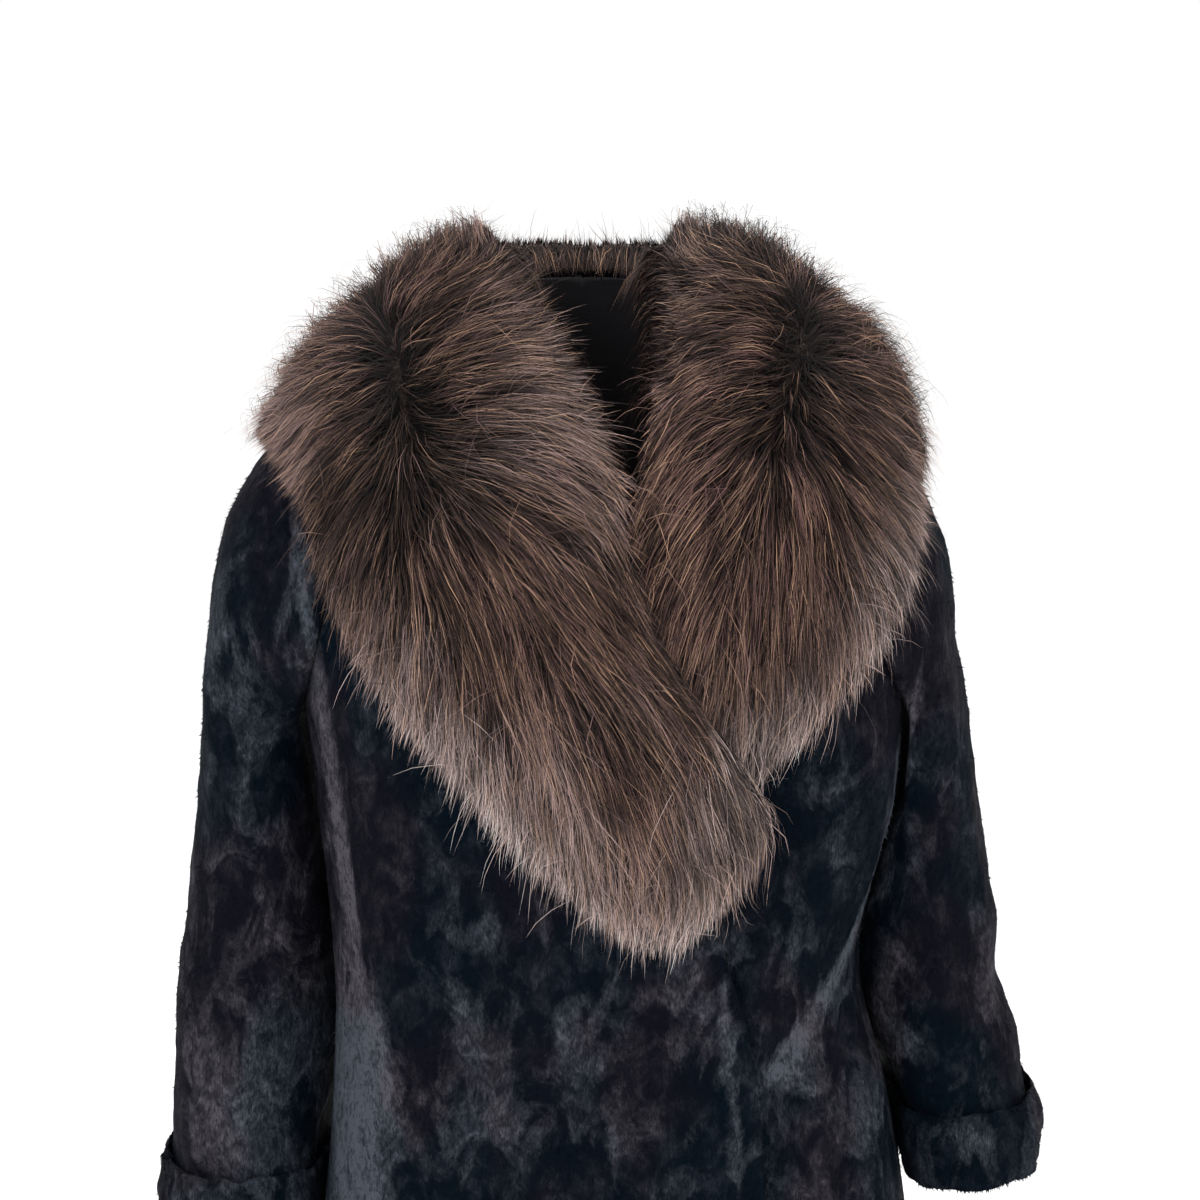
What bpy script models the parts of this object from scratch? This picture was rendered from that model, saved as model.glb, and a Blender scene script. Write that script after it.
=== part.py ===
"""A sheared mink coat with a long-haired fox shawl collar, filled out as it hangs when it is worn.

Metres, +Z up, the front towards -Y and the wearer's left towards +X. The origin is the middle of the neck at the
level of the shoulders, where the wearer carries the coat. Angles round the body are measured about the body's
middle line: 0 is the wearer's left side, -90 the front, 90 the back and 180 the wearer's right side.
"""

import math
from collections import namedtuple

import bmesh
import bpy
from mathutils import Vector
from mathutils.bvhtree import BVHTree

COLLECTION = "sheared_mink_coat"

# Driving dimensions.
COAT_LENGTH = 1.095  # from the nape down to the hem
NECKLINE_Z = 0.015
HEM_Z = NECKLINE_Z - COAT_LENGTH
WALL = 0.008  # leather and sheared nap together
SEAM_GAP = 0.0003
LAP_GAP = 0.0045  # between the front that laps over and the one beneath it
ARMHOLE_TOP_Z = -0.078
ARMHOLE_BOTTOM_Z = -0.290
ARMHOLE_HALF_ANGLE = 20.0
SHOULDER_SLOPE = 40.0  # degrees below level, where the sleeve leaves the shoulder
ARMPIT_SLOPE = 62.0  # the same at the armpit
SLEEVE_SPLAY = 0.25  # how much of the sleeve's first direction turns to the front or the back
LEAST_MITRE = 0.9  # keeps the wall at the armhole's seam from growing thick at a sharp turn
ARM_CLEARANCE = 0.005  # between a sleeve and the body at the armpit
ARM_CLEARANCE_BELOW = 0.0028  # the same from a hand's breadth below it
ARM_CLEARANCE_RAMP = 0.10
CUFF_HEIGHT = 0.052
CUFF_THICKNESS = 0.009
CUFF_DROP = 0.003  # how far the folded edge hangs below the sleeve's end
CUFF_RAMP = 0.050  # the stretch above a cuff in which the sleeve swings out to make room for it
CUFF_RAMP_START = 0.020  # how far above the cuff that stretch begins to matter
CUFF_FOLD = 0.50  # how far out the folded edge lies, as a share of the cuff's thickness
CUFF_TOP = 0.55  # the same for its top edge
CUFF_EDGE = 0.80  # how thick the cuff is beside its edges, as a share of its middle
CUFF_GAP = 0.0018  # between a cuff and the sleeve it is turned back over
COLLAR_GAP = 0.0045  # between the collar and what it lies on

# Mesh density.
SIDE_ROWS = 16
ARMHOLE_ROWS = 12
NECK_ROWS = 5  # how many of the back's rows beside an armhole begin on the neckline
FRONT_MIDDLE_Z = -0.365  # where the row that ends at the armpit begins on a front's edge
FRONT_COLUMNS = 16
BACK_COLUMNS = 11
CAP_ROWS = 8
SLEEVE_ROWS = 12  # between the armpit and the cuff
CUFF_ROWS = 3
COLLAR_ROWS = 32
COLLAR_COLUMNS = 12

# The body's level slices: the middle, half the width, and how far the front and the back reach from the middle.
Slice = namedtuple("Slice", "z middle_x middle_y half_width front back squareness")
SLICES = (
    Slice(-1.080, 0.014, 0.000, 0.292, 0.188, 0.180, 2.2),
    Slice(-0.900, 0.018, -0.004, 0.262, 0.170, 0.162, 2.3),
    Slice(-0.760, 0.023, -0.010, 0.234, 0.153, 0.146, 2.4),
    Slice(-0.680, 0.025, -0.014, 0.221, 0.144, 0.136, 2.4),
    Slice(-0.600, 0.022, -0.018, 0.211, 0.134, 0.126, 2.4),
    Slice(-0.500, 0.010, -0.020, 0.195, 0.124, 0.122, 2.4),
    Slice(-0.400, 0.017, -0.020, 0.210, 0.122, 0.126, 2.4),
    Slice(-0.320, 0.018, -0.020, 0.219, 0.124, 0.134, 2.4),
    Slice(-0.220, 0.010, -0.018, 0.220, 0.120, 0.138, 2.4),
    Slice(-0.140, 0.002, -0.012, 0.213, 0.104, 0.132, 2.3),
    Slice(-0.078, 0.000, -0.006, 0.203, 0.088, 0.118, 2.2),
    Slice(-0.034, 0.000, 0.000, 0.148, 0.078, 0.098, 2.0),
    Slice(0.015, 0.000, 0.004, 0.080, 0.062, 0.074, 2.0),
    Slice(0.035, 0.000, 0.004, 0.070, 0.056, 0.068, 2.0),
)

# The coat's main folds. Each stands out from the body, or sinks if its depth is negative. It begins at top, has
# its whole depth between full and fade, and is gone at bottom. Drift is how many degrees it turns per metre down.
Fold = namedtuple("Fold", "angle spread depth top full fade bottom drift")
FOLDS = (
    Fold(-152.0, 13.0, 0.009, -0.200, -0.330, -1.080, -1.300, -12.0),
    Fold(-134.0, 12.0, -0.008, -0.300, -0.460, -1.080, -1.300, -10.0),
    Fold(-112.0, 15.0, 0.012, -0.620, -0.960, -1.080, -1.300, 0.0),
    Fold(-14.0, 13.0, 0.012, -0.290, -0.380, -0.540, -0.660, 150.0),
    Fold(8.0, 13.0, -0.006, -0.350, -0.430, -0.560, -0.660, 150.0),
    Fold(-24.0, 17.0, 0.018, -0.560, -0.860, -1.080, -1.300, 8.0),
    Fold(-50.0, 13.0, -0.010, -0.600, -0.900, -1.080, -1.300, 4.0),
    Fold(22.0, 17.0, 0.020, -0.560, -0.900, -1.080, -1.300, 0.0),
    Fold(44.0, 13.0, -0.012, -0.560, -0.900, -1.080, -1.300, 0.0),
    Fold(66.0, 15.0, 0.016, -0.500, -0.860, -1.080, -1.300, 0.0),
    Fold(90.0, 14.0, -0.012, -0.460, -0.860, -1.080, -1.300, 0.0),
    Fold(113.0, 16.0, 0.017, -0.500, -0.900, -1.080, -1.300, 0.0),
    Fold(136.0, 13.0, -0.012, -0.560, -0.900, -1.080, -1.300, 0.0),
    Fold(159.0, 16.0, 0.020, -0.600, -0.900, -1.080, -1.300, 0.0),
    Fold(70.0, 10.0, -0.007, -0.140, -0.240, -0.400, -0.520, -40.0),
    Fold(112.0, 10.0, -0.007, -0.140, -0.240, -0.400, -0.520, 40.0),
)

# Where each front ends, from the neck down the V and along the front edge.
Edge = namedtuple("Edge", "z right left")
EDGES = (
    Edge(0.015, -0.0795, 0.0795),
    Edge(-0.045, -0.030, 0.062),
    Edge(-0.100, 0.004, 0.048),
    Edge(-0.170, 0.030, 0.022),
    Edge(-0.250, 0.060, -0.026),
    Edge(-0.330, 0.082, -0.062),
    Edge(-0.430, 0.094, -0.078),
    Edge(-0.540, 0.116, -0.080),
    Edge(-0.620, 0.128, -0.080),
    Edge(-0.800, 0.144, -0.080),
    Edge(-1.080, 0.160, -0.080),
)
LAP_RAMP = 0.070  # how far beside the lap a front turns out of its own line

# Each sleeve's level slices below the armpit. Out is the distance of its middle from the middle of the neck.
Ring = namedtuple("Ring", "z out middle_y half_width half_depth")
RIGHT_RINGS = (
    Ring(-0.708, 0.255, 0.018, 0.065, 0.076),
    Ring(-0.640, 0.254, 0.022, 0.064, 0.078),
    Ring(-0.540, 0.247, 0.028, 0.064, 0.080),
    Ring(-0.440, 0.241, 0.032, 0.059, 0.082),
    Ring(-0.330, 0.240, 0.034, 0.048, 0.084),
)
LEFT_RINGS = (
    Ring(-0.658, 0.290, 0.020, 0.058, 0.073),
    Ring(-0.620, 0.286, 0.022, 0.059, 0.075),
    Ring(-0.560, 0.276, 0.026, 0.057, 0.078),
    Ring(-0.500, 0.259, 0.030, 0.059, 0.080),
    Ring(-0.420, 0.252, 0.034, 0.056, 0.082),
    Ring(-0.330, 0.250, 0.036, 0.043, 0.084),
)
CAP_REACH = 0.40  # how far the cap runs on from the shoulder before it bends, as a share of its length
CAP_RISE = 0.42  # the same from the sleeve upwards
CAP_FREE = 0.10  # the share of the cap that need not keep clear of the body

# Dents and swells of the sleeves. Turn is 0 at the front, 90 on the outside and 180 at the back.
Crease = namedtuple("Crease", "sleeve z turn height spread depth")
CREASES = (
    Crease("sleeve_left", -0.262, 70.0, 0.020, 70.0, -0.0045),
    Crease("sleeve_left", -0.300, 80.0, 0.030, 60.0, 0.0030),
    Crease("sleeve_left", -0.470, 60.0, 0.030, 70.0, 0.0050),
    Crease("sleeve_left", -0.518, 95.0, 0.022, 75.0, -0.0060),
    Crease("sleeve_left", -0.556, 75.0, 0.026, 70.0, 0.0050),
    Crease("sleeve_left", -0.575, 20.0, 0.036, 40.0, -0.0060),
    Crease("sleeve_right", -0.300, 40.0, 0.090, 28.0, 0.0060),
    Crease("sleeve_right", -0.420, 10.0, 0.120, 30.0, -0.0060),
    Crease("sleeve_right", -0.520, 60.0, 0.110, 26.0, 0.0060),
    Crease("sleeve_right", -0.615, 15.0, 0.050, 34.0, 0.0050),
    Crease("sleeve_right", -0.500, 150.0, 0.030, 60.0, -0.0060),
    Crease("sleeve_right", -0.550, 160.0, 0.030, 60.0, 0.0050),
    Crease("sleeve_left", -0.450, 170.0, 0.030, 60.0, -0.0050),
)

# The collar's sections, from the centre back round the neck to the tip. Across is measured from the middle
# towards the half's own side. A section runs from the neck edge to the outer edge, and its fur stands a bow
# above the straight line between the two. Deep is the most that the fur measures through.
Section = namedtuple("Section", "neck_across neck_y neck_z rim_across rim_y rim_z bow deep")
RIGHT_COLLAR = (
    Section(0.000, 0.074, 0.032, 0.000, 0.162, -0.196, 0.040, 0.048),
    Section(0.036, 0.064, 0.034, 0.092, 0.158, -0.192, 0.040, 0.048),
    Section(0.058, 0.038, 0.036, 0.186, 0.122, -0.166, 0.042, 0.050),
    Section(0.058, 0.008, 0.042, 0.236, 0.040, -0.104, 0.042, 0.050),
    Section(0.044, -0.034, 0.020, 0.222, -0.044, -0.106, 0.044, 0.050),
    Section(0.010, -0.082, -0.036, 0.196, -0.096, -0.140, 0.046, 0.048),
    Section(-0.015, -0.122, -0.086, 0.180, -0.116, -0.200, 0.044, 0.048),
    Section(-0.034, -0.150, -0.138, 0.136, -0.144, -0.260, 0.040, 0.048),
    Section(-0.050, -0.166, -0.200, 0.084, -0.158, -0.314, 0.036, 0.046),
    Section(-0.078, -0.170, -0.250, 0.034, -0.162, -0.366, 0.034, 0.044),
    Section(-0.107, -0.168, -0.294, -0.018, -0.164, -0.412, 0.030, 0.042),
    Section(-0.128, -0.166, -0.338, -0.072, -0.164, -0.432, 0.024, 0.036),
    Section(-0.133, -0.164, -0.372, -0.104, -0.164, -0.420, 0.012, 0.024),
)
LEFT_COLLAR = (
    Section(0.000, 0.074, 0.032, 0.000, 0.162, -0.196, 0.040, 0.048),
    Section(0.036, 0.064, 0.034, 0.092, 0.158, -0.192, 0.040, 0.048),
    Section(0.060, 0.038, 0.036, 0.192, 0.122, -0.166, 0.042, 0.050),
    Section(0.058, 0.008, 0.040, 0.252, 0.040, -0.104, 0.060, 0.060),
    Section(0.058, -0.040, 0.014, 0.252, -0.036, -0.132, 0.058, 0.058),
    Section(0.056, -0.084, -0.036, 0.248, -0.068, -0.180, 0.050, 0.048),
    Section(0.048, -0.116, -0.086, 0.224, -0.098, -0.228, 0.046, 0.044),
    Section(0.036, -0.136, -0.138, 0.186, -0.122, -0.268, 0.036, 0.038),
    Section(0.014, -0.144, -0.196, 0.150, -0.142, -0.300, 0.022, 0.026),
    Section(0.006, -0.146, -0.240, 0.112, -0.148, -0.330, 0.012, 0.018),
    Section(0.006, -0.146, -0.276, 0.076, -0.150, -0.352, 0.008, 0.014),
)
COLLAR_THIN = 0.012  # the least that the collar's fur measures through
COLLAR_RIM = 0.022  # what it measures through at its edges
COLLAR_CREST = 0.38  # where across a section the fur stands highest
COLLAR_ROUND = 0.6  # how blunt a section of the collar is across its run
PROBE = 0.30  # how far outside the collar the search for what lies beneath it begins
PROBE_PAST = 0.12  # how far inside the collar's own line that search goes on
NOTHING_BENEATH = -1.0

# Finishes, as base colour, roughness and metallic value.
MINK = ((0.012, 0.011, 0.012), 0.85, 0.0)
FOX = ((0.055, 0.034, 0.024), 0.80, 0.0)
SHARP_ANGLE = 50.0  # degrees between two faces past which their edge is drawn sharp


def clamp(value, low=0.0, high=1.0):
    """Keep a value between two limits."""
    return max(low, min(high, value))


def ease(share):
    """Rise smoothly from 0 to 1."""
    share = clamp(share)
    return share * share * (3.0 - 2.0 * share)


def bump(offset, spread):
    """Give a smooth hump, 1 in its middle and 0 at its spread."""
    share = abs(offset) / spread
    return (1.0 - share * share) ** 2 if share < 1.0 else 0.0


def row_at(table, places, at):
    """Read every column of a table at a place between its rows, on a smooth curve through them."""
    last = len(places) - 1
    low = 0
    while low < last - 1 and at > places[low + 1]:
        low += 1
    span = places[low + 1] - places[low]
    share = clamp((at - places[low]) / span)
    columns = []
    for column in range(len(table[0])):
        values = [row[column] for row in table]

        def slope(index):
            """Find the curve's slope at a row from the rows beside it."""
            before, after = max(index - 1, 0), min(index + 1, last)
            return (values[after] - values[before]) / (places[after] - places[before])

        start, end = values[low], values[low + 1]
        leave, arrive = slope(low) * span, slope(low + 1) * span
        square, cube = share * share, share**3
        columns.append(
            start * (2 * cube - 3 * square + 1)
            + leave * (cube - 2 * square + share)
            + end * (3 * square - 2 * cube)
            + arrive * (cube - square)
        )
    return columns


def by_height(table, z):
    """Read a table whose first column is a height."""
    rows = sorted(table)
    return type(table[0])(*row_at(rows, [row[0] for row in rows], z))


def fold_depth(angle, z):
    """Add up how far the folds push the cloth out at an angle and a height."""
    total = 0.0
    for fold in FOLDS:
        begin = ease((fold.top - z) / (fold.top - fold.full))
        end = ease((z - fold.bottom) / (fold.fade - fold.bottom))
        middle = fold.angle + fold.drift * (z - fold.top)
        offset = (angle - middle + 180.0) % 360.0 - 180.0
        total += fold.depth * begin * end * bump(offset, fold.spread)
    return total


def body_point(angle, z, out=0.0):
    """Give the point of the coat's outside at an angle and a height, moved out by a distance."""
    cut = by_height(SLICES, z)
    turn = math.radians(angle)
    reach = cut.back if math.sin(turn) > 0 else cut.front
    power = cut.squareness
    across, along = abs(math.cos(turn)) / cut.half_width, abs(math.sin(turn)) / reach
    radius = (across**power + along**power) ** (-1.0 / power)
    radius += fold_depth(angle, z) + out
    return Vector((cut.middle_x + radius * math.cos(turn), cut.middle_y + radius * math.sin(turn), z))


def body_normal(angle, z):
    """Give the direction that the coat's outside faces."""
    step_angle, step_z = 0.5, 0.002
    around = body_point(angle + step_angle, z) - body_point(angle - step_angle, z)
    up = body_point(angle, z + step_z) - body_point(angle, z - step_z)
    return around.cross(up).normalized()


def front_angle(x, z):
    """Find the angle at which the coat's front is at a distance across."""
    cut = by_height(SLICES, z)
    share = clamp(abs(x - cut.middle_x) / cut.half_width)
    y = -cut.front * (1.0 - share**cut.squareness) ** (1.0 / cut.squareness)
    return math.degrees(math.atan2(y - 1e-9, x - cut.middle_x))


def side_reach(side, y, z):
    """Find how far across the coat's side is at a depth and a height."""
    cut = by_height(SLICES, z)
    reach = cut.back if y > cut.middle_y else cut.front
    share = clamp(abs(y - cut.middle_y) / reach)
    x = side * cut.half_width * (1.0 - share**cut.squareness) ** (1.0 / cut.squareness)
    angle = math.degrees(math.atan2(y - cut.middle_y, x))
    return side * body_point(angle, z).x


def armhole_place(side, facing, turn):
    """Give the angle and height of a point on the armhole. Turn runs from -90 at the armpit to 90 on the shoulder."""
    height = ARMHOLE_TOP_Z - ARMHOLE_BOTTOM_Z
    swing = ARMHOLE_HALF_ANGLE * math.cos(math.radians(turn))
    angle = facing * (swing if side > 0 else 180.0 - swing)
    return angle, ARMHOLE_BOTTOM_Z + height * (0.5 + 0.5 * math.sin(math.radians(turn)))


class ArmholePoint:
    """The joint of the body and a sleeve at one point of the armhole."""

    def __init__(self, side, facing, turn):
        angle, z = armhole_place(side, facing, turn)
        step = 1.0
        after = body_point(*armhole_place(side, facing, turn + step))
        before = body_point(*armhole_place(side, facing, turn - step))
        if abs(turn) > 89.0:
            before = body_point(*armhole_place(side, -1, 89.0 if turn > 0 else -89.0))
            after = body_point(*armhole_place(side, 1, 89.0 if turn > 0 else -89.0))
        along = (after - before).normalized()
        self.place = body_point(angle, z)
        body = body_normal(angle, z)
        rise = math.sin(math.radians(turn))
        level = math.cos(math.radians(turn))
        slope = math.radians(SHOULDER_SLOPE + (ARMPIT_SLOPE - SHOULDER_SLOPE) * (0.5 - 0.5 * rise))
        leave = Vector((side * math.cos(slope), SLEEVE_SPLAY * facing * level, -math.sin(slope)))
        self.leave = leave.normalized()
        sleeve = along.cross(self.leave).normalized()
        outward = Vector((0.0, facing * level, rise))
        if sleeve.dot(outward) < 0.0:
            sleeve = -sleeve
        share = 1.0 + body.dot(sleeve)
        mitre = (body + sleeve) / max(share, LEAST_MITRE)
        across = along.cross(mitre).normalized()
        if across.dot(self.leave) < 0.0:
            across = -across
        self.inward = -WALL * mitre
        self.apart = across * SEAM_GAP / 2.0


class Sheet:
    """A cloth wall in the making: outer points, the inner point behind each, and the faces between them."""

    def __init__(self):
        self.outer = []
        self.inner = []
        self.faces = []

    def add(self, outer, inner):
        """Add a point of the wall and return its number."""
        self.outer.append(Vector(outer))
        self.inner.append(Vector(inner))
        return len(self.outer) - 1

    def grid(self, rows, closed=False, flip=False):
        """Join rows of point numbers with faces."""
        for lower, upper in zip(rows, rows[1:]):
            count = len(lower)
            for index in range(count if closed else count - 1):
                beside = (index + 1) % count
                face = [lower[index], lower[beside], upper[beside], upper[index]]
                self.faces.append(face[::-1] if flip else face)

    def mesh(self):
        """Close the wall with its inner side and its edges."""
        shape = bmesh.new()
        outer = [shape.verts.new(point) for point in self.outer]
        inner = [shape.verts.new(point) for point in self.inner]
        edges = {}
        for face in self.faces:
            shape.faces.new([outer[index] for index in face])
            shape.faces.new([inner[index] for index in reversed(face)])
            for start, end in zip(face, face[1:] + face[:1]):
                edges[(start, end)] = True
        for start, end in edges:
            if (end, start) not in edges:
                shape.faces.new((outer[end], outer[start], inner[start], inner[end]))
        return finish_mesh(shape)


def finish_mesh(shape):
    """Merge the points that meet, turn every face out and cut the faces into triangles."""
    bmesh.ops.remove_doubles(shape, verts=shape.verts, dist=0.00002)
    bmesh.ops.recalc_face_normals(shape, faces=shape.faces)
    bmesh.ops.triangulate(shape, faces=shape.faces)
    return shape


def body_wall(sheet, angle, z, out=0.0):
    """Add a plain point of the body's wall."""
    normal = body_normal(angle, z)
    outer = body_point(angle, z, out)
    return sheet.add(outer, outer - WALL * normal)


def lap_out(name, x, z):
    """Say how far a front stands out of the body's line so that the two fronts clear each other where they lap."""
    edge = by_height(EDGES, z)
    half = (WALL + LAP_GAP) / 2.0
    if name == "front_right":
        return half * ease((x - edge.left + LAP_RAMP) / LAP_RAMP)
    return -half * ease((edge.right + LAP_RAMP - x) / LAP_RAMP)


def panel_rows(sheet, side, facing, columns, start_angle, start_heights, out_at, shared=()):
    """Make a panel's rows, from its edge at the front or the centre back out to the side seam and the armhole.

    Shared holds the numbers of the points that the first rows begin with, where another half already has them.
    """
    rows = []
    side_angle = facing * (0.0 if side > 0 else 180.0)
    towards = 1.0 if (side > 0) == (facing > 0) else -1.0
    for row in range(SIDE_ROWS + ARMHOLE_ROWS + 1):
        begin_z = start_heights[row]
        begin_angle = start_angle(begin_z, row)
        joint = None
        if row < SIDE_ROWS:
            end_z = HEM_Z + (ARMHOLE_BOTTOM_Z - HEM_Z) * row / SIDE_ROWS
            end_angle = side_angle
        else:
            turn = -90.0 + 180.0 * (row - SIDE_ROWS) / ARMHOLE_ROWS
            joint = ArmholePoint(side, facing, turn)
            end_angle, end_z = armhole_place(side, facing, turn)
        line = []
        for column in range(columns + 1):
            share = column / columns
            if column == 0 and row < len(shared):
                line.append(shared[row])
                continue
            angle = begin_angle + (end_angle - begin_angle) * share
            z = begin_z + (end_z - begin_z) * share
            at_side_seam = column == columns and row <= SIDE_ROWS
            at_shoulder_seam = row == SIDE_ROWS + ARMHOLE_ROWS
            if at_side_seam or at_shoulder_seam:
                angle += towards * math.degrees(SEAM_GAP / 2.0 / body_point(angle, z).xy.length)
            if column == columns and joint:
                outer = body_point(angle, z) - joint.apart
                line.append(sheet.add(outer, outer + joint.inward))
            else:
                line.append(body_wall(sheet, angle, z, out_at(angle, z)))
        rows.append(line)
    return rows


def spread_heights(lowest, middle, highest, upper_rows):
    """Share out the heights of a panel's rows: below the armpit, then beside the armhole."""
    below = [lowest + (middle - lowest) * row / SIDE_ROWS for row in range(SIDE_ROWS)]
    beside = [middle + (highest - middle) * row / upper_rows for row in range(upper_rows + 1)]
    return below + beside


def make_front(name, side):
    """Make one front, from its edge and the V of the neck to the side seam, armhole and shoulder seam."""
    sheet = Sheet()

    def start_angle(z, row):
        """Follow the front edge."""
        edge = by_height(EDGES, z)
        return front_angle(edge.left if side > 0 else edge.right, z)

    def out_at(angle, z):
        """Make room for the lap."""
        return lap_out(name, body_point(angle, z).x, z)

    heights = spread_heights(HEM_Z, FRONT_MIDDLE_Z, NECKLINE_Z, ARMHOLE_ROWS)
    rows = panel_rows(sheet, side, -1, FRONT_COLUMNS, start_angle, heights, out_at)
    sheet.grid(rows, flip=side < 0)
    return sheet.mesh()


def no_lap(angle, z):
    """Leave the back in the body's own line."""
    return 0.0


def make_back():
    """Make the back from two halves that are one piece along the centre back."""
    sheet = Sheet()
    whole = SIDE_ROWS + ARMHOLE_ROWS
    first_on_neck = whole - NECK_ROWS
    heights = spread_heights(HEM_Z, ARMHOLE_BOTTOM_Z, NECKLINE_Z, ARMHOLE_ROWS - NECK_ROWS)
    heights += [NECKLINE_Z] * NECK_ROWS
    shared = []
    for side in (1, -1):

        def start_angle(z, row):
            """Stay on the centre back, then follow the neckline round to the shoulder seam."""
            return 90.0 - side * 90.0 * max(row - first_on_neck, 0) / NECK_ROWS

        rows = panel_rows(sheet, side, 1, BACK_COLUMNS, start_angle, heights, no_lap, shared)
        shared = [row[0] for row in rows[: first_on_neck + 1]]
        sheet.grid(rows, flip=side > 0)
    return sheet.mesh()


def crease_depth(name, turn, z):
    """Add up how far a sleeve's dents and swells push its cloth out."""
    total = 0.0
    for crease in CREASES:
        if crease.sleeve == name:
            offset = (turn - crease.turn + 180.0) % 360.0 - 180.0
            total += crease.depth * bump(z - crease.z, crease.height) * bump(offset, crease.spread)
    return total


def sleeve_point(name, rings, side, turn, z):
    """Give a point of a sleeve below the armpit. Turn is 0 at the front and 90 on the outside."""
    ring = by_height(rings, z)
    around = math.radians(turn)
    lowest = rings[0].z
    ramp_top = lowest + CUFF_HEIGHT + CUFF_RAMP_START + CUFF_RAMP
    below = ease((rings[-1].z - z) / ARM_CLEARANCE_RAMP)
    room = ARM_CLEARANCE + (ARM_CLEARANCE_BELOW - ARM_CLEARANCE) * below
    room += CUFF_THICKNESS * ease((ramp_top - z) / CUFF_RAMP)
    swell = crease_depth(name, turn, z)
    out = ring.out + (ring.half_width + swell) * math.sin(around)
    y = ring.middle_y - (ring.half_depth + swell) * math.cos(around)
    return Vector((side * max(out, side_reach(side, y, z) + room), y, z))


def sleeve_levels(rings):
    """Give the heights of a sleeve's rows below the armpit. Inside the cuff they are also the cuff's."""
    high, cuff_top = rings[-1].z, rings[0].z + CUFF_HEIGHT
    levels = [high + (cuff_top - high) * row / SLEEVE_ROWS for row in range(SLEEVE_ROWS)]
    return levels + [cuff_top - CUFF_HEIGHT * row / CUFF_ROWS for row in range(CUFF_ROWS + 1)]


def sleeve_rows(name, rings, side):
    """Work out a sleeve's rows of outer points, from the armhole to its end, with the joint at the armhole."""
    count = 2 * ARMHOLE_ROWS
    top_ring_z = rings[-1].z
    joints = []
    columns = []
    for index in range(count):
        turn = -90.0 + 360.0 * index / count
        facing, rise = (-1, turn) if turn <= 90.0 else (1, 180.0 - turn)
        joint = ArmholePoint(side, facing, rise)
        joints.append(joint)
        start = joint.place + joint.apart
        end = sleeve_point(name, rings, side, turn, top_ring_z)
        below = sleeve_point(name, rings, side, turn, top_ring_z - 0.02)
        length = (end - start).length
        leave = start + joint.leave * length * CAP_REACH
        arrive = end + (end - below).normalized() * length * CAP_RISE
        column = []
        for row in range(CAP_ROWS):
            share = row / CAP_ROWS
            rest = 1.0 - share
            point = start * rest**3 + leave * 3 * rest**2 * share
            point += arrive * 3 * rest * share**2 + end * share**3
            if row:
                outward = Vector((0.0, -math.cos(math.radians(turn)), 0.0))
                outward.x = side * math.sin(math.radians(turn))
                point += outward * crease_depth(name, turn, point.z) * ease(share * 2.0)
                if point.z < ARMHOLE_TOP_Z and share > CAP_FREE:
                    body = side_reach(side, point.y, point.z) + ARM_CLEARANCE * ease((share - CAP_FREE) / CAP_FREE)
                    point.x = side * max(side * point.x, body)
            column.append(point)
        for z in sleeve_levels(rings):
            column.append(sleeve_point(name, rings, side, turn, z))
        columns.append(column)
    return [list(row) for row in zip(*columns)], joints


def grid_normals(rows, side):
    """Find the direction that each point of a tube of rows faces."""
    normals = []
    for number, row in enumerate(rows):
        above, below = rows[max(number - 1, 0)], rows[min(number + 1, len(rows) - 1)]
        count = len(row)
        line = []
        for index in range(count):
            around = row[(index + 1) % count] - row[index - 1]
            down = below[index] - above[index]
            line.append(down.cross(around).normalized() * side)
        normals.append(line)
    return normals


def make_sleeve(name, rings, side):
    """Make a sleeve as one tube, sewn to the armhole."""
    sheet = Sheet()
    rows, joints = sleeve_rows(name, rings, side)
    normals = grid_normals(rows, side)
    numbers = []
    for row, points in enumerate(rows):
        line = []
        for index, point in enumerate(points):
            inward = -WALL * normals[row][index]
            if row == 0:
                inward = joints[index].inward
            line.append(sheet.add(point, point + inward))
        numbers.append(line)
    sheet.grid(numbers, closed=True, flip=side > 0)
    return sheet.mesh()


def make_cuff(name, rings, side):
    """Make a turned-back cuff: a thick band round the sleeve's end, with a round folded edge below."""
    count = 2 * ARMHOLE_ROWS
    foot = rings[0].z
    levels = [row / CUFF_ROWS for row in range(CUFF_ROWS + 1)]
    profile = [(CUFF_GAP, foot + CUFF_HEIGHT * level) for level in levels]
    profile.append((CUFF_THICKNESS * CUFF_TOP, foot + CUFF_HEIGHT + CUFF_DROP))
    for level in reversed(levels):
        swell = CUFF_EDGE + (1.0 - CUFF_EDGE) * math.sin(math.pi * level)
        profile.append((CUFF_THICKNESS * swell, foot + CUFF_HEIGHT * level))
    profile.append((CUFF_THICKNESS * CUFF_FOLD, foot - CUFF_DROP))
    shape = bmesh.new()
    rings_of_points = []
    for out, z in profile:
        base = [sleeve_point(name, rings, side, 360.0 * index / count, max(z, foot)) for index in range(count)]
        line = []
        for index, point in enumerate(base):
            around = base[(index + 1) % count] - base[index - 1]
            outward = Vector((around.y, -around.x, 0.0)).normalized() * side
            moved = point + outward * out
            line.append(shape.verts.new((moved.x, moved.y, z)))
        rings_of_points.append(line)
    for inner, outer in zip(rings_of_points, rings_of_points[1:] + rings_of_points[:1]):
        for index in range(count):
            beside = (index + 1) % count
            shape.faces.new((inner[index], inner[beside], outer[beside], outer[index]))
    return finish_mesh(shape)


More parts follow.
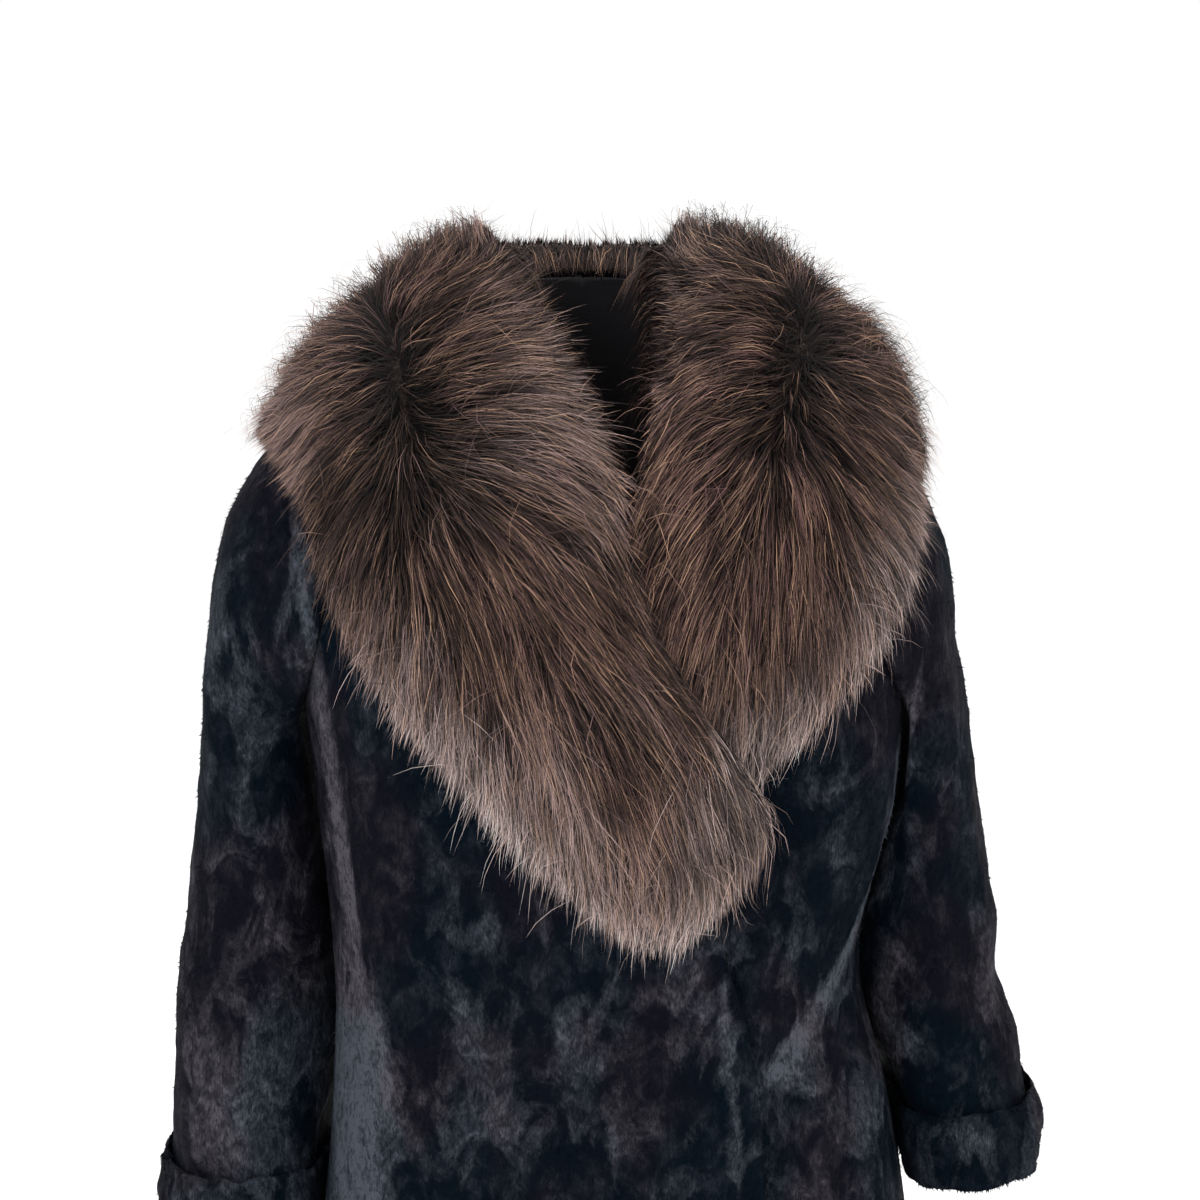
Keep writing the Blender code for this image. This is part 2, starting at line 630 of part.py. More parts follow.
def collar_sections(table, side):
    """Space the collar's sections evenly along it and turn each table row into two ends, a bow and a depth."""
    middles = []
    for row in table:
        neck = Vector((row.neck_across, row.neck_y, row.neck_z))
        rim = Vector((row.rim_across, row.rim_y, row.rim_z))
        middles.append((neck + rim) / 2.0)
    places = [0.0]
    for before, after in zip(middles, middles[1:]):
        places.append(places[-1] + (after - before).length)
    sections = []
    for number in range(COLLAR_ROWS + 1):
        row = Section(*row_at(table, places, places[-1] * number / COLLAR_ROWS))
        neck = Vector((side * row.neck_across, row.neck_y, row.neck_z))
        rim = Vector((side * row.rim_across, row.rim_y, row.rim_z))
        if number == 0:
            neck.x = rim.x = side * SEAM_GAP / 2.0
        sections.append((neck, rim, row.bow, row.deep))
    return sections


def section_normals(sections, side):
    """Find the direction that each section's fur stands in, square to the section and to the collar's run."""
    normals = []
    last = len(sections) - 1
    middles = [(neck + rim) / 2.0 for neck, rim, bow, deep in sections]
    for number, (neck, rim, bow, deep) in enumerate(sections):
        run = middles[min(number + 1, last)] - middles[max(number - 1, 0)]
        if number == 0:
            run = Vector((side, 0.0, 0.0))
        normals.append(run.cross(rim - neck).normalized() * side)
    for _ in range(2):
        before = list(normals)
        for number in range(1, last):
            near = before[number - 1] + before[number + 1] + 2.0 * before[number]
            normals[number] = near.normalized()
    return normals


def make_collar(table, side, beneath):
    """Make half of the shawl collar: deep fur that lies on what is beneath it and is thinner at its edges."""
    sections = collar_sections(table, side)
    normals = section_normals(sections, side)
    count = COLLAR_COLUMNS
    base, top, low = [], [], []
    for (neck, rim, bow, deep), normal in zip(sections, normals):
        base_row, top_row, low_row = [], [], []
        for column in range(count + 1):
            share = 0.5 - 0.5 * math.cos(math.pi * column / count)
            chord = neck.lerp(rim, share)
            arch = (share / COLLAR_CREST) ** COLLAR_CREST
            arch *= ((1.0 - share) / (1.0 - COLLAR_CREST)) ** (1.0 - COLLAR_CREST)
            height = bow * arch
            swell = math.sin(math.pi * share) ** COLLAR_ROUND
            thick = min(COLLAR_RIM, deep) + max(deep - COLLAR_RIM, 0.0) * swell
            base_row.append(chord)
            top_row.append(height)
            low_row.append(height - thick)
        base.append(base_row)
        top.append(top_row)
        low.append(low_row)
    floor = spread_floor(collar_floor(base, normals, beneath))
    low = relax([[max(a, b) for a, b in zip(*pair)] for pair in zip(low, floor)], floor)
    thinnest = [[value + COLLAR_THIN for value in row] for row in low]
    top = relax([[max(a, b) for a, b in zip(*pair)] for pair in zip(top, thinnest)], thinnest)
    shape = bmesh.new()
    outer, inner = [], []
    for number, normal in enumerate(normals):
        outer.append([shape.verts.new(point + normal * rise) for point, rise in zip(base[number], top[number])])
        inner.append([shape.verts.new(point + normal * rise) for point, rise in zip(base[number], low[number])])
    for number in range(COLLAR_ROWS):
        for column in range(count):
            for layer in (outer, inner):
                near, far = layer[number], layer[number + 1]
                shape.faces.new((near[column], near[column + 1], far[column + 1], far[column]))
        for column in (0, count):
            low_edge = (inner[number][column], inner[number + 1][column])
            top_edge = (outer[number + 1][column], outer[number][column])
            shape.faces.new(low_edge + top_edge)
    for number in (0, COLLAR_ROWS):
        for column in range(count):
            low_edge = (inner[number][column], inner[number][column + 1])
            top_edge = (outer[number][column + 1], outer[number][column])
            shape.faces.new(low_edge + top_edge)
    return finish_mesh(shape)


def collar_floor(base, normals, beneath):
    """Find how high the things beneath the collar stand at each of its points and halfway to its neighbours."""
    last_row, last_column = len(base) - 1, len(base[0]) - 1
    floor = []
    for row in range(last_row + 1):
        line = []
        for column in range(last_column + 1):
            highest = NOTHING_BENEATH
            for row_step in (-0.5, 0.0, 0.5):
                for step in (-0.5, 0.0, 0.5):
                    next_row = min(max(row + (1 if row_step > 0 else -1), 0), last_row)
                    next_column = min(max(column + (1 if step > 0 else -1), 0), last_column)
                    here = base[row][column].lerp(base[row][next_column], abs(step))
                    there = base[next_row][column].lerp(base[next_row][next_column], abs(step))
                    point = here.lerp(there, abs(row_step))
                    normal = normals[row].lerp(normals[next_row], abs(row_step)).normalized()
                    hit = beneath.ray_cast(point + PROBE * normal, -normal, PROBE + PROBE_PAST)
                    if hit[0]:
                        highest = max(highest, PROBE - hit[3] + COLLAR_GAP)
            line.append(highest)
        floor.append(line)
    return floor


def spread_floor(floor):
    """Carry the floor two places past the edge of what lies beneath, so that the collar clears that edge."""
    rows, columns = len(floor), len(floor[0])
    for _ in range(2):
        before = [list(row) for row in floor]
        for row in range(rows):
            for column in range(columns):
                if before[row][column] > NOTHING_BENEATH:
                    continue
                for near_row in range(max(row - 1, 0), min(row + 2, rows)):
                    for near in range(max(column - 1, 0), min(column + 2, columns)):
                        floor[row][column] = max(floor[row][column], before[near_row][near])
    return floor


def relax(heights, least):
    """Even out a grid of heights, and never let one sink below the least it may be."""
    rows, columns = len(heights), len(heights[0])
    for _ in range(3):
        before = [list(row) for row in heights]
        for row in range(rows):
            for column in range(columns):
                near = [
                    before[max(row - 1, 0)][column],
                    before[min(row + 1, rows - 1)][column],
                    before[row][max(column - 1, 0)],
                    before[row][min(column + 1, columns - 1)],
                ]
                even = 0.5 * before[row][column] + 0.5 * sum(near) / 4.0
                heights[row][column] = max(even, least[row][column])
    return heights


def tree_of(shapes):
    """Make one search tree of several shapes."""
    points, faces = [], []
    for shape in shapes:
        first = len(points)
        points += [vert.co.copy() for vert in shape.verts]
        shape.verts.index_update()
        faces += [[first + vert.index for vert in face.verts] for face in shape.faces]
    return BVHTree.FromPolygons(points, faces)


def make_material(name, finish):
    """Make a Principled material from a base colour, a roughness and a metallic value."""
    colour, roughness, metallic = finish
    material = bpy.data.materials.new(name)
    material.use_nodes = True
    shader = material.node_tree.nodes["Principled BSDF"]
    shader.inputs["Base Color"].default_value = (*colour, 1.0)
    shader.inputs["Roughness"].default_value = roughness
    shader.inputs["Metallic"].default_value = metallic
    material.diffuse_color = (*colour, 1.0)
    return material


def place(shape, name, finish, collection):
    """Put a finished shape in the collection as an object of its own."""
    mesh = bpy.data.meshes.new(name)
    shape.to_mesh(mesh)
    shape.free()
    mesh.materials.append(make_material(name, finish))
    for face in mesh.polygons:
        face.use_smooth = True
    mesh.set_sharp_from_angle(angle=math.radians(SHARP_ANGLE))
    collection.objects.link(bpy.data.objects.new(name, mesh))


def main():
    """Build the coat."""
    for item in list(bpy.data.objects):
        bpy.data.objects.remove(item, do_unlink=True)
    collection = bpy.data.collections.new(COLLECTION)
    bpy.context.scene.collection.children.link(collection)
    shapes = {
        "back": make_back(),
        "front_right": make_front("front_right", -1),
        "front_left": make_front("front_left", 1),
        "sleeve_right": make_sleeve("sleeve_right", RIGHT_RINGS, -1),
        "sleeve_left": make_sleeve("sleeve_left", LEFT_RINGS, 1),
        "cuff_right": make_cuff("sleeve_right", RIGHT_RINGS, -1),
        "cuff_left": make_cuff("sleeve_left", LEFT_RINGS, 1),
    }
    shapes["collar_left"] = make_collar(LEFT_COLLAR, 1, tree_of(shapes.values()))
    shapes["collar_right"] = make_collar(RIGHT_COLLAR, -1, tree_of(shapes.values()))
    for name, shape in shapes.items():
        place(shape, name, FOX if name.startswith("collar") else MINK, collection)


main()
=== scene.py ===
"""Dresses the frame of a sheared mink coat with a long-haired fox shawl collar.

Metres, +Z up, the front towards -Y and the wearer's left towards +X. The mink is a thin shell on each cloth
wall, with short nap standing on it. The collar is a body of dense underfur with long hair combed over it.
"""

import logging
import math
from collections.abc import Callable
from dataclasses import dataclass
from enum import Enum
from typing import NamedTuple, TypeVar

import bmesh
import bpy
import numpy as np
from bpy.types import Material, Mesh, Object
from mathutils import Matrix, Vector, noise
from mathutils.bvhtree import BVHTree
from mathutils.kdtree import KDTree


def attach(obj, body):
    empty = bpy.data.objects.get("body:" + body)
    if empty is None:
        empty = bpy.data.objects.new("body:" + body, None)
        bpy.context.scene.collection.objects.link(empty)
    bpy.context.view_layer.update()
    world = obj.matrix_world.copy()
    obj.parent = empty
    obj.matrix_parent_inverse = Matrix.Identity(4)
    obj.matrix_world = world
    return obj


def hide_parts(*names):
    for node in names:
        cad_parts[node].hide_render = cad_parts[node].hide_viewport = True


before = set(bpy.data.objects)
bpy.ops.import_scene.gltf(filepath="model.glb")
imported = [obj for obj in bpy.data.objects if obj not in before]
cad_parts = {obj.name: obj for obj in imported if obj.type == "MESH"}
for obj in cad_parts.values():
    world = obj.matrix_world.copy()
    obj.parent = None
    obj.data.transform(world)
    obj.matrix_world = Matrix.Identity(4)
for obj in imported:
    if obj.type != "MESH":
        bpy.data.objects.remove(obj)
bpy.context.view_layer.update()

LOG = logging.getLogger("mink_coat")
ROOT = "root"
SEED = 20
Array = np.ndarray
Triple = tuple[float, float, float]
Row = TypeVar("Row")


class Slot(Enum):
    """The record's material slots."""

    MINK = "sheared_mink"
    FOX = "fox_fur"


# ------------------------------------------------------------ shader graphs


class Wire:
    """One value in a shader graph, which Python expressions can work on."""

    def __init__(self, graph: "Graph", socket: bpy.types.NodeSocket) -> None:
        """Hold an output socket and the graph it is in."""
        self.graph = graph
        self.socket = socket

    def _math(self, operation: str, first: "Wire | float", second: "Wire | float") -> "Wire":
        """Add a Math node."""
        return self.graph.node("ShaderNodeMath", {"operation": operation}, {0: first, 1: second})

    def __add__(self, other: "Wire | float") -> "Wire":
        """Add."""
        return self._math("ADD", self, other)

    __radd__ = __add__

    def __sub__(self, other: "Wire | float") -> "Wire":
        """Take away."""
        return self._math("SUBTRACT", self, other)

    def __rsub__(self, other: float) -> "Wire":
        """Take this from a number."""
        return self._math("SUBTRACT", other, self)

    def __mul__(self, other: "Wire | float") -> "Wire":
        """Multiply."""
        return self._math("MULTIPLY", self, other)

    __rmul__ = __mul__


class Graph:
    """A material in the making, with one Principled shader."""

    def __init__(self, name: str) -> None:
        """Start a material.

        Args:
            name: what the material is called.
        """
        self.material = bpy.data.materials.new(name)
        self.material.use_nodes = True
        self.tree = self.material.node_tree
        self.shader = self.tree.nodes["Principled BSDF"]

    def feed(self, socket: bpy.types.NodeSocket, value: object) -> None:
        """Link a wire to a socket, or set the socket's own value.

        Args:
            socket: an input.
            value: the wire, or what the socket is to hold.
        """
        if isinstance(value, Wire):
            self.tree.links.new(value.socket, socket)
        else:
            socket.default_value = value

    def node(
        self, kind: str, settings: dict | None = None, values: dict | None = None, output: str | int = 0
    ) -> Wire:
        """Add a node.

        Args:
            kind: the node's type.
            settings: its own settings.
            values: what its sockets hold or are linked to.
            output: the output that is wanted.

        Returns:
            The wanted output.
        """
        made = self.tree.nodes.new(kind)
        for key, value in (settings or {}).items():
            setattr(made, key, value)
        for key, value in (values or {}).items():
            self.feed(made.inputs[key], value)
        return Wire(self, made.outputs[output])

    def noise(
        self, fine: Triple, detail: float, rough: float = 0.5, twist: float = 0.0, shift: Triple = (0.0,) * 3
    ) -> Wire:
        """Give a noise from 0 to 1 over the object's own coordinates.

        Args:
            fine: how many turns of the noise go to a metre, along each axis.
            detail: how many finer layers lie on it.
            rough: how strong each layer is against the one before it.
            twist: how far it is warped.
            shift: how far it is moved, in turns.

        Returns:
            The noise.
        """
        spot = self.node("ShaderNodeTexCoord", output="Object")
        where = self.node("ShaderNodeMapping", {}, {"Vector": spot, "Scale": fine, "Location": shift})
        values = {"Vector": where, "Scale": 1.0, "Detail": detail, "Roughness": rough, "Distortion": twist}
        return self.node("ShaderNodeTexNoise", {}, values, "Fac")

    def spread(self, value: Wire, low: float, high: float, start: float = 0.0, end: float = 1.0) -> Wire:
        """Carry a value from one range to another, softly at both ends."""
        values = {"Value": value, "From Min": low, "From Max": high, "To Min": start, "To Max": end}
        return self.node("ShaderNodeMapRange", {"interpolation_type": "SMOOTHSTEP"}, values)

    def blend(self, factor: Wire | float, first: Wire | Triple, second: Wire | Triple) -> Wire:
        """Mix two colours."""
        ends = [value if isinstance(value, Wire) else (*value, 1.0) for value in (first, second)]
        return self.node("ShaderNodeMix", {"data_type": "RGBA"}, {0: factor, 6: ends[0], 7: ends[1]}, 2)

    def bump(self, height: Wire, deep: float, strength: float = 1.0) -> Wire:
        """Turn a height into a normal."""
        values = {"Height": height, "Distance": deep, "Strength": strength}
        return self.node("ShaderNodeBump", {}, values)

    def finish(self, **sockets: object) -> Material:
        """Set the shader's sockets.

        Args:
            **sockets: what each socket gets. Underscores stand for the spaces in its name.

        Returns:
            The material.
        """
        for key, value in sockets.items():
            self.feed(self.shader.inputs[key.replace("_", " ")], value)
        return self.material


# ------------------------------------------------------------ finishes


@dataclass(frozen=True)
class ShearedMink:
    """Short plush fur that is near black, and paler where its nap lies over.

    The attribute laid says how much paler it is painted: where the nap lies over, and painted highlights
    along folds and seams where light falls. Cool parts are bluish, and the others brownish.
    """

    name: str = "sheared_mink"
    dark_cool: Triple = (0.0007, 0.0027, 0.0057)
    dark_brown: Triple = (0.0030, 0.0030, 0.0058)
    pale_cool: Triple = (0.052, 0.060, 0.074)
    pale_brown: Triple = (0.060, 0.055, 0.065)
    tint_fine: Triple = (7.0, 7.0, 5.0)
    patch_fine: Triple = (27.0, 27.0, 17.0)
    mottle_fine: Triple = (58.0, 58.0, 38.0)
    tuft_fine: Triple = (120.0, 120.0, 78.0)
    fibre_fine: Triple = (760.0, 760.0, 230.0)
    upward: Triple = (0.03, 0.0, 0.09)
    patch_edge: tuple[float, float] = (0.565, 0.680)
    mottle: float = 0.20
    painted_glint: float = 0.12
    relief: float = 0.0026

    def make(self) -> Material:
        """Make the material.

        Returns:
            The material.
        """
        graph = Graph(self.name)
        laid = graph.node("ShaderNodeAttribute", {"attribute_name": "laid"}, output="Fac")
        patches = graph.noise(self.patch_fine, 8.0, 0.62, 0.7)
        above = graph.noise(self.patch_fine, 8.0, 0.62, 0.7, self.upward)
        tufts = graph.noise(self.tuft_fine, 4.0, 0.65, 0.8)
        fibres = graph.noise(self.fibre_fine, 2.0, 0.6, 0.6)
        tint = graph.spread(graph.noise(self.tint_fine, 3.0), 0.44, 0.56)
        dark = graph.blend(tint, self.dark_brown, self.dark_cool)
        pale = graph.blend(tint, self.pale_brown, self.pale_cool)
        # A patch gets a painted highlight where it falls away upwards, and it is broken up by tufts and
        # fibres.
        patch = graph.spread(patches + laid * 0.18 + tufts * 0.05, *self.patch_edge)
        # Painted highlight: the patch noise a little higher up, less the noise here, is large on slopes that
        # face up to the light.
        lit = graph.spread(above - patches, -0.07, 0.09, 0.45, 1.25)
        mottled = graph.spread(graph.noise(self.mottle_fine, 6.0, 0.6, 0.5), 0.44, 0.68) * self.mottle
        # Painted highlight: where laid runs past 1, on ridges, folds and seams that catch the light, the pale
        # colour is laid on nearly in full.
        firm = graph.spread(laid, 1.0, 2.2) * (0.35 + 0.35 * patch)
        strength = patch * lit * (laid * 0.30 + 0.52) + mottled + firm
        broken = graph.spread(tufts, 0.30, 0.72, 0.25, 1.0) * graph.spread(fibres, 0.25, 0.75, 0.40, 1.4)
        # Painted glint: pale specks where fibres and tufts stand out, for light glinting off the fur.
        painted_glint = graph.spread(fibres, 0.50, 0.85) * graph.spread(tufts, 0.45, 0.75) * self.painted_glint
        height = fibres * 0.25 + tufts * 0.90 + patch * 0.25 + patches * 1.5
        return graph.finish(
            Base_Color=graph.blend(painted_glint, graph.blend(strength * broken, dark, pale), pale),
            Normal=graph.bump(height, self.relief),
            Roughness=0.72,
            Specular_IOR_Level=0.02,
            Sheen_Weight=0.008,
            Sheen_Roughness=0.40,
            Sheen_Tint=(0.70, 0.76, 0.90, 1.0),
        )


@dataclass(frozen=True)
class PlainLining:
    """The coat's plain inner side."""

    name: str = "lining"
    colour: Triple = (0.012, 0.011, 0.013)
    pale: Triple = (0.0264, 0.0242, 0.0286)
    thread_fine: Triple = (900.0, 900.0, 900.0)
    drift_fine: Triple = (9.0, 9.0, 5.0)
    relief: float = 0.0006

    def make(self) -> Material:
        """Make the material.

        Returns:
            The material.
        """
        graph = Graph(self.name)
        weave = graph.noise(self.thread_fine, 1.0)
        drift = graph.noise(self.drift_fine, 3.0)
        colour = graph.blend(drift, self.colour, self.pale)
        normal = graph.bump(weave + drift * 3.0, self.relief, 0.5)
        return graph.finish(Base_Color=colour, Normal=normal, Roughness=0.5, Specular_IOR_Level=0.35)


@dataclass(frozen=True)
class FoxUnderfur:
    """The dense soft fur beneath the collar's long hair."""

    name: str = "fox_underfur"
    dark: Triple = (0.012, 0.008, 0.007)
    pale: Triple = (0.050, 0.033, 0.026)
    lock_fine: Triple = (60.0, 60.0, 40.0)
    fibre_fine: Triple = (700.0, 700.0, 240.0)
    relief: float = 0.003

    def make(self) -> Material:
        """Make the material.

        Returns:
            The material.
        """
        graph = Graph(self.name)
        locks = graph.noise(self.lock_fine, 4.0, 0.6, 0.5)
        fibres = graph.noise(self.fibre_fine, 2.0, 0.6)
        return graph.finish(
            Base_Color=graph.blend(locks * 0.6 + fibres * 0.4, self.dark, self.pale),
            Normal=graph.bump(locks + fibres * 0.5, self.relief),
            Roughness=0.9,
            Specular_IOR_Level=0.1,
            Sheen_Weight=0.1,
        )


@dataclass(frozen=True)
class FoxHair:
    """Long hair, whose colour from root to tip is on its points."""

    name: str = "fox_hair"
    attribute: str = "hair_colour"

    def make(self) -> Material:
        """Make the material.

        Returns:
            The material.
        """
        graph = Graph(self.name)
        colour = graph.node("ShaderNodeAttribute", {"attribute_name": self.attribute}, output="Color")
        return graph.finish(Base_Color=colour, Roughness=0.60, Specular_IOR_Level=0.12)


@dataclass(frozen=True)
class StudioPaper:
    """The pale paper below the coat."""

    name: str = "paper"
    colour: tuple[float, ...] = (0.86, 0.86, 0.87, 1.0)
    glow: tuple[float, ...] = (1.0, 1.0, 1.0, 1.0)

    def make(self) -> Material:
        """Make the material.

        Returns:
            The material.
        """
        return Graph(self.name).finish(
            Base_Color=self.colour,
            Roughness=0.95,
            Specular_IOR_Level=0.05,
            Emission_Color=self.glow,
            Emission_Strength=0.18,
        )


# ------------------------------------------------------------ shared work


def tabled(kind: Callable[..., Row], *table: tuple[str | float, ...]) -> tuple[Row, ...]:
    """Name the columns of a table's rows."""
    return tuple(kind(*row) for row in table)


def clear_selection() -> None:
    """Deselect everything, the CAD nodes among it."""
    bpy.ops.object.select_all(action="DESELECT")


def only(thing: Object) -> None:
    """Select one object alone and make it active.

    Args:
        thing: that object.
    """
    clear_selection()
    thing.select_set(True)
    bpy.context.view_layer.objects.active = thing


def read(items: bpy.types.bpy_prop_collection, name: str, wide: int, kind: type = np.float32) -> Array:
    """Read one property of a mesh's points, corners or faces.

    Args:
        items: the points, corners or faces.
        name: the property.
        wide: how many numbers it has.
        kind: what kind of number they are.

    Returns:
        An array with a row for each item, or with a number for each where it has one.
    """
    values = np.zeros(len(items) * wide, kind)
    items.foreach_get(name, values)
    return values.reshape(-1, wide) if wide > 1 else values


def points_of(mesh: Mesh) -> Array:
    """Give a mesh's points."""
    return read(mesh.vertices, "co", 3).astype(float)


def normals_of(mesh: Mesh) -> Array:
    """Give the way each point of a mesh faces."""
    return read(mesh.vertex_normals, "vector", 3).astype(float)


def mesh_of(name: str, points: Array, triangles: Array) -> Mesh:
    """Make a mesh of triangles.

    Args:
        name: what it is called.
        points: its points, a row each.
        triangles: the three points of each triangle, a row each.

    Returns:
        The mesh.
    """
    mesh = bpy.data.meshes.new(name)
    mesh.vertices.add(len(points))
    mesh.vertices.foreach_set("co", points.astype(np.float32).ravel())
    mesh.loops.add(len(triangles) * 3)
    mesh.loops.foreach_set("vertex_index", triangles.astype(np.int32).ravel())
    mesh.polygons.add(len(triangles))
    mesh.polygons.foreach_set("loop_start", np.arange(0, len(triangles) * 3, 3, dtype=np.int32))
    mesh.update(calc_edges=True)
    return mesh


def in_scene(mesh: Mesh) -> Object:
    """Put a mesh in the scene as an object of the same name, at the origin.

    Args:
        mesh: the mesh.

    Returns:
        The object.
    """
    thing = bpy.data.objects.new(mesh.name, mesh)
    bpy.context.scene.collection.objects.link(thing)
    return thing


def set_normals(mesh: Mesh, normals: Array) -> None:
    """Shade a mesh by the way its points are said to face."""
    mesh.polygons.foreach_set("use_smooth", np.ones(len(mesh.polygons), bool))
    mesh.normals_split_custom_set_from_vertices(unit(normals))


def unit(vectors: Array) -> Array:
    """Make each vector one long."""
    return vectors / np.maximum(np.linalg.norm(vectors, axis=-1, keepdims=True), 1e-12)


def ease(share: Array | float) -> Array | float:
    """Rise smoothly from 0 to 1."""
    share = np.clip(share, 0.0, 1.0)
    return share * share * (3.0 - 2.0 * share)


# ------------------------------------------------------------ the mink


class PaleSpot(NamedTuple):
    """A place painted paler: faint ones are patches where the nap lies over, and strong ones are painted
    highlights along folds and seams where light falls. Lean is how far its long side leans from upright.
    """

    x: float
    z: float
    across: float
    high: float
    lean: float
    much: float


# Pale places on the coat's front, from its right sleeve across to its left one. The narrow, strong ones are
# painted highlights along folds, ridges and seam edges where light falls; the broad, faint ones are patches
# where the nap lies over.
PALE_NAP_AND_HIGHLIGHTS = tabled(
    PaleSpot,
    (-0.27, -0.237, 0.01, 0.06, 4, 0.5),
    (-0.247, -0.29, 0.022, 0.06, 0, 0.7),
    (-0.249, -0.459, 0.018, 0.026, 0, 0.8),
    (-0.272, -0.6, 0.04, 0.06, 0, 1),
    (-0.198, -0.19, 0.006, 0.06, -6, 1.8),
    (-0.181, -0.32, 0.006, 0.08, -8, 2.4),
    (-0.17, -0.42, 0.007, 0.05, -8, 2.2),
    (-0.168, -0.59, 0.02, 0.095, 0, 3.6),
    (-0.145, -0.54, 0.01, 0.05, -14, 1.6),
    (-0.15, -0.65, 0.018, 0.03, 0, 1),
    (-0.072, -0.431, 0.04, 0.016, 0, 0.8),
    (-0.077, -0.5, 0.014, 0.036, -12, 1),
    (-0.066, -0.577, 0.05, 0.034, 0, 0.7),
    (-0.006, -0.51, 0.02, 0.03, 0, 0.9),
    (0.042, -0.569, 0.044, 0.034, 0, 0.7),
    (0.05, -0.478, 0.022, 0.01, 10, 0.9),
    (0.089, -0.483, 0.018, 0.05, -10, 1.1),
    (0.104, -0.505, 0.004, 0.05, -3, 1.1),
    (0.111, -0.6, 0.003, 0.07, -3, 1.2),
    (0.15, -0.53, 0.01, 0.026, 40, 2.2),
    (0.173, -0.5, 0.006, 0.034, 38, 2.6),
    (0.204, -0.45, 0.005, 0.044, 26, 2.6),
    (0.225, -0.39, 0.005, 0.052, 12, 2.4),
    (0.238, -0.31, 0.006, 0.05, 10, 1.8),
    (0.17, -0.332, 0.024, 0.036, 16, 0.5),
    (0.216, -0.577, 0.018, 0.08, 8, 0.9),
    (0.159, -0.575, 0.028, 0.04, 0, 0.7),
    (0.243, -0.553, 0.016, 0.018, 0, 0.8),
    (0.307, -0.505, 0.012, 0.03, 0, 0.7),
    (0.295, -0.625, 0.022, 0.016, 0, 0.7),
    (0.344, -0.64, 0.012, 0.03, 0, 0.7),
)
HAND_SET_FRONT = (0.03, 0.06)  # the places of the table fade in over this depth, before this plane
LOW_LAID = (-0.30, 0.20, 0.11)  # below this height, over this fall, the nap lies over by this much
RIGHT_ARM_LAID = (-0.16, 0.05, 0.26)  # and so on the sleeves, beyond this x
LEFT_ARM_LAID = (0.20, 0.05, 0.06)


def pale_nap_and_highlight_at(points: Array) -> Array:
    """Say how much paler the mink is painted: where the nap lies over, and the painted highlights of the
    table. Only the front has places from the table.

    Args:
        points: places on the mink, a row each.

    Returns:
        How much paler each is, from 0 up.
    """
    total = np.zeros(len(points))
    for spot in PALE_NAP_AND_HIGHLIGHTS:
        lean = math.radians(spot.lean)
        x, z = points[:, 0] - spot.x, points[:, 2] - spot.z
        across = (x * math.cos(lean) - z * math.sin(lean)) / spot.across
        along = (x * math.sin(lean) + z * math.cos(lean)) / spot.high
        total += spot.much * np.exp(-(across**2 + along**2))
    plane, depth = HAND_SET_FRONT
    total *= ease((plane - points[:, 1]) / depth)
    for column, sign, (edge, width, much) in (
        (2, -1.0, LOW_LAID),
        (0, -1.0, RIGHT_ARM_LAID),
        (0, 1.0, LEFT_ARM_LAID),
    ):
        total += much * ease(sign * (points[:, column] - edge) / width)
    return total


def give_pale_nap_and_highlight(mesh: Mesh, points: Array) -> None:
    """Write on a mesh's points how much paler the mink is painted, for nap that lies over and for painted
    highlights.
    """
    laid = mesh.attributes.new("laid", "FLOAT", "POINT")
    laid.data.foreach_set("value", pale_nap_and_highlight_at(points).astype(np.float32))


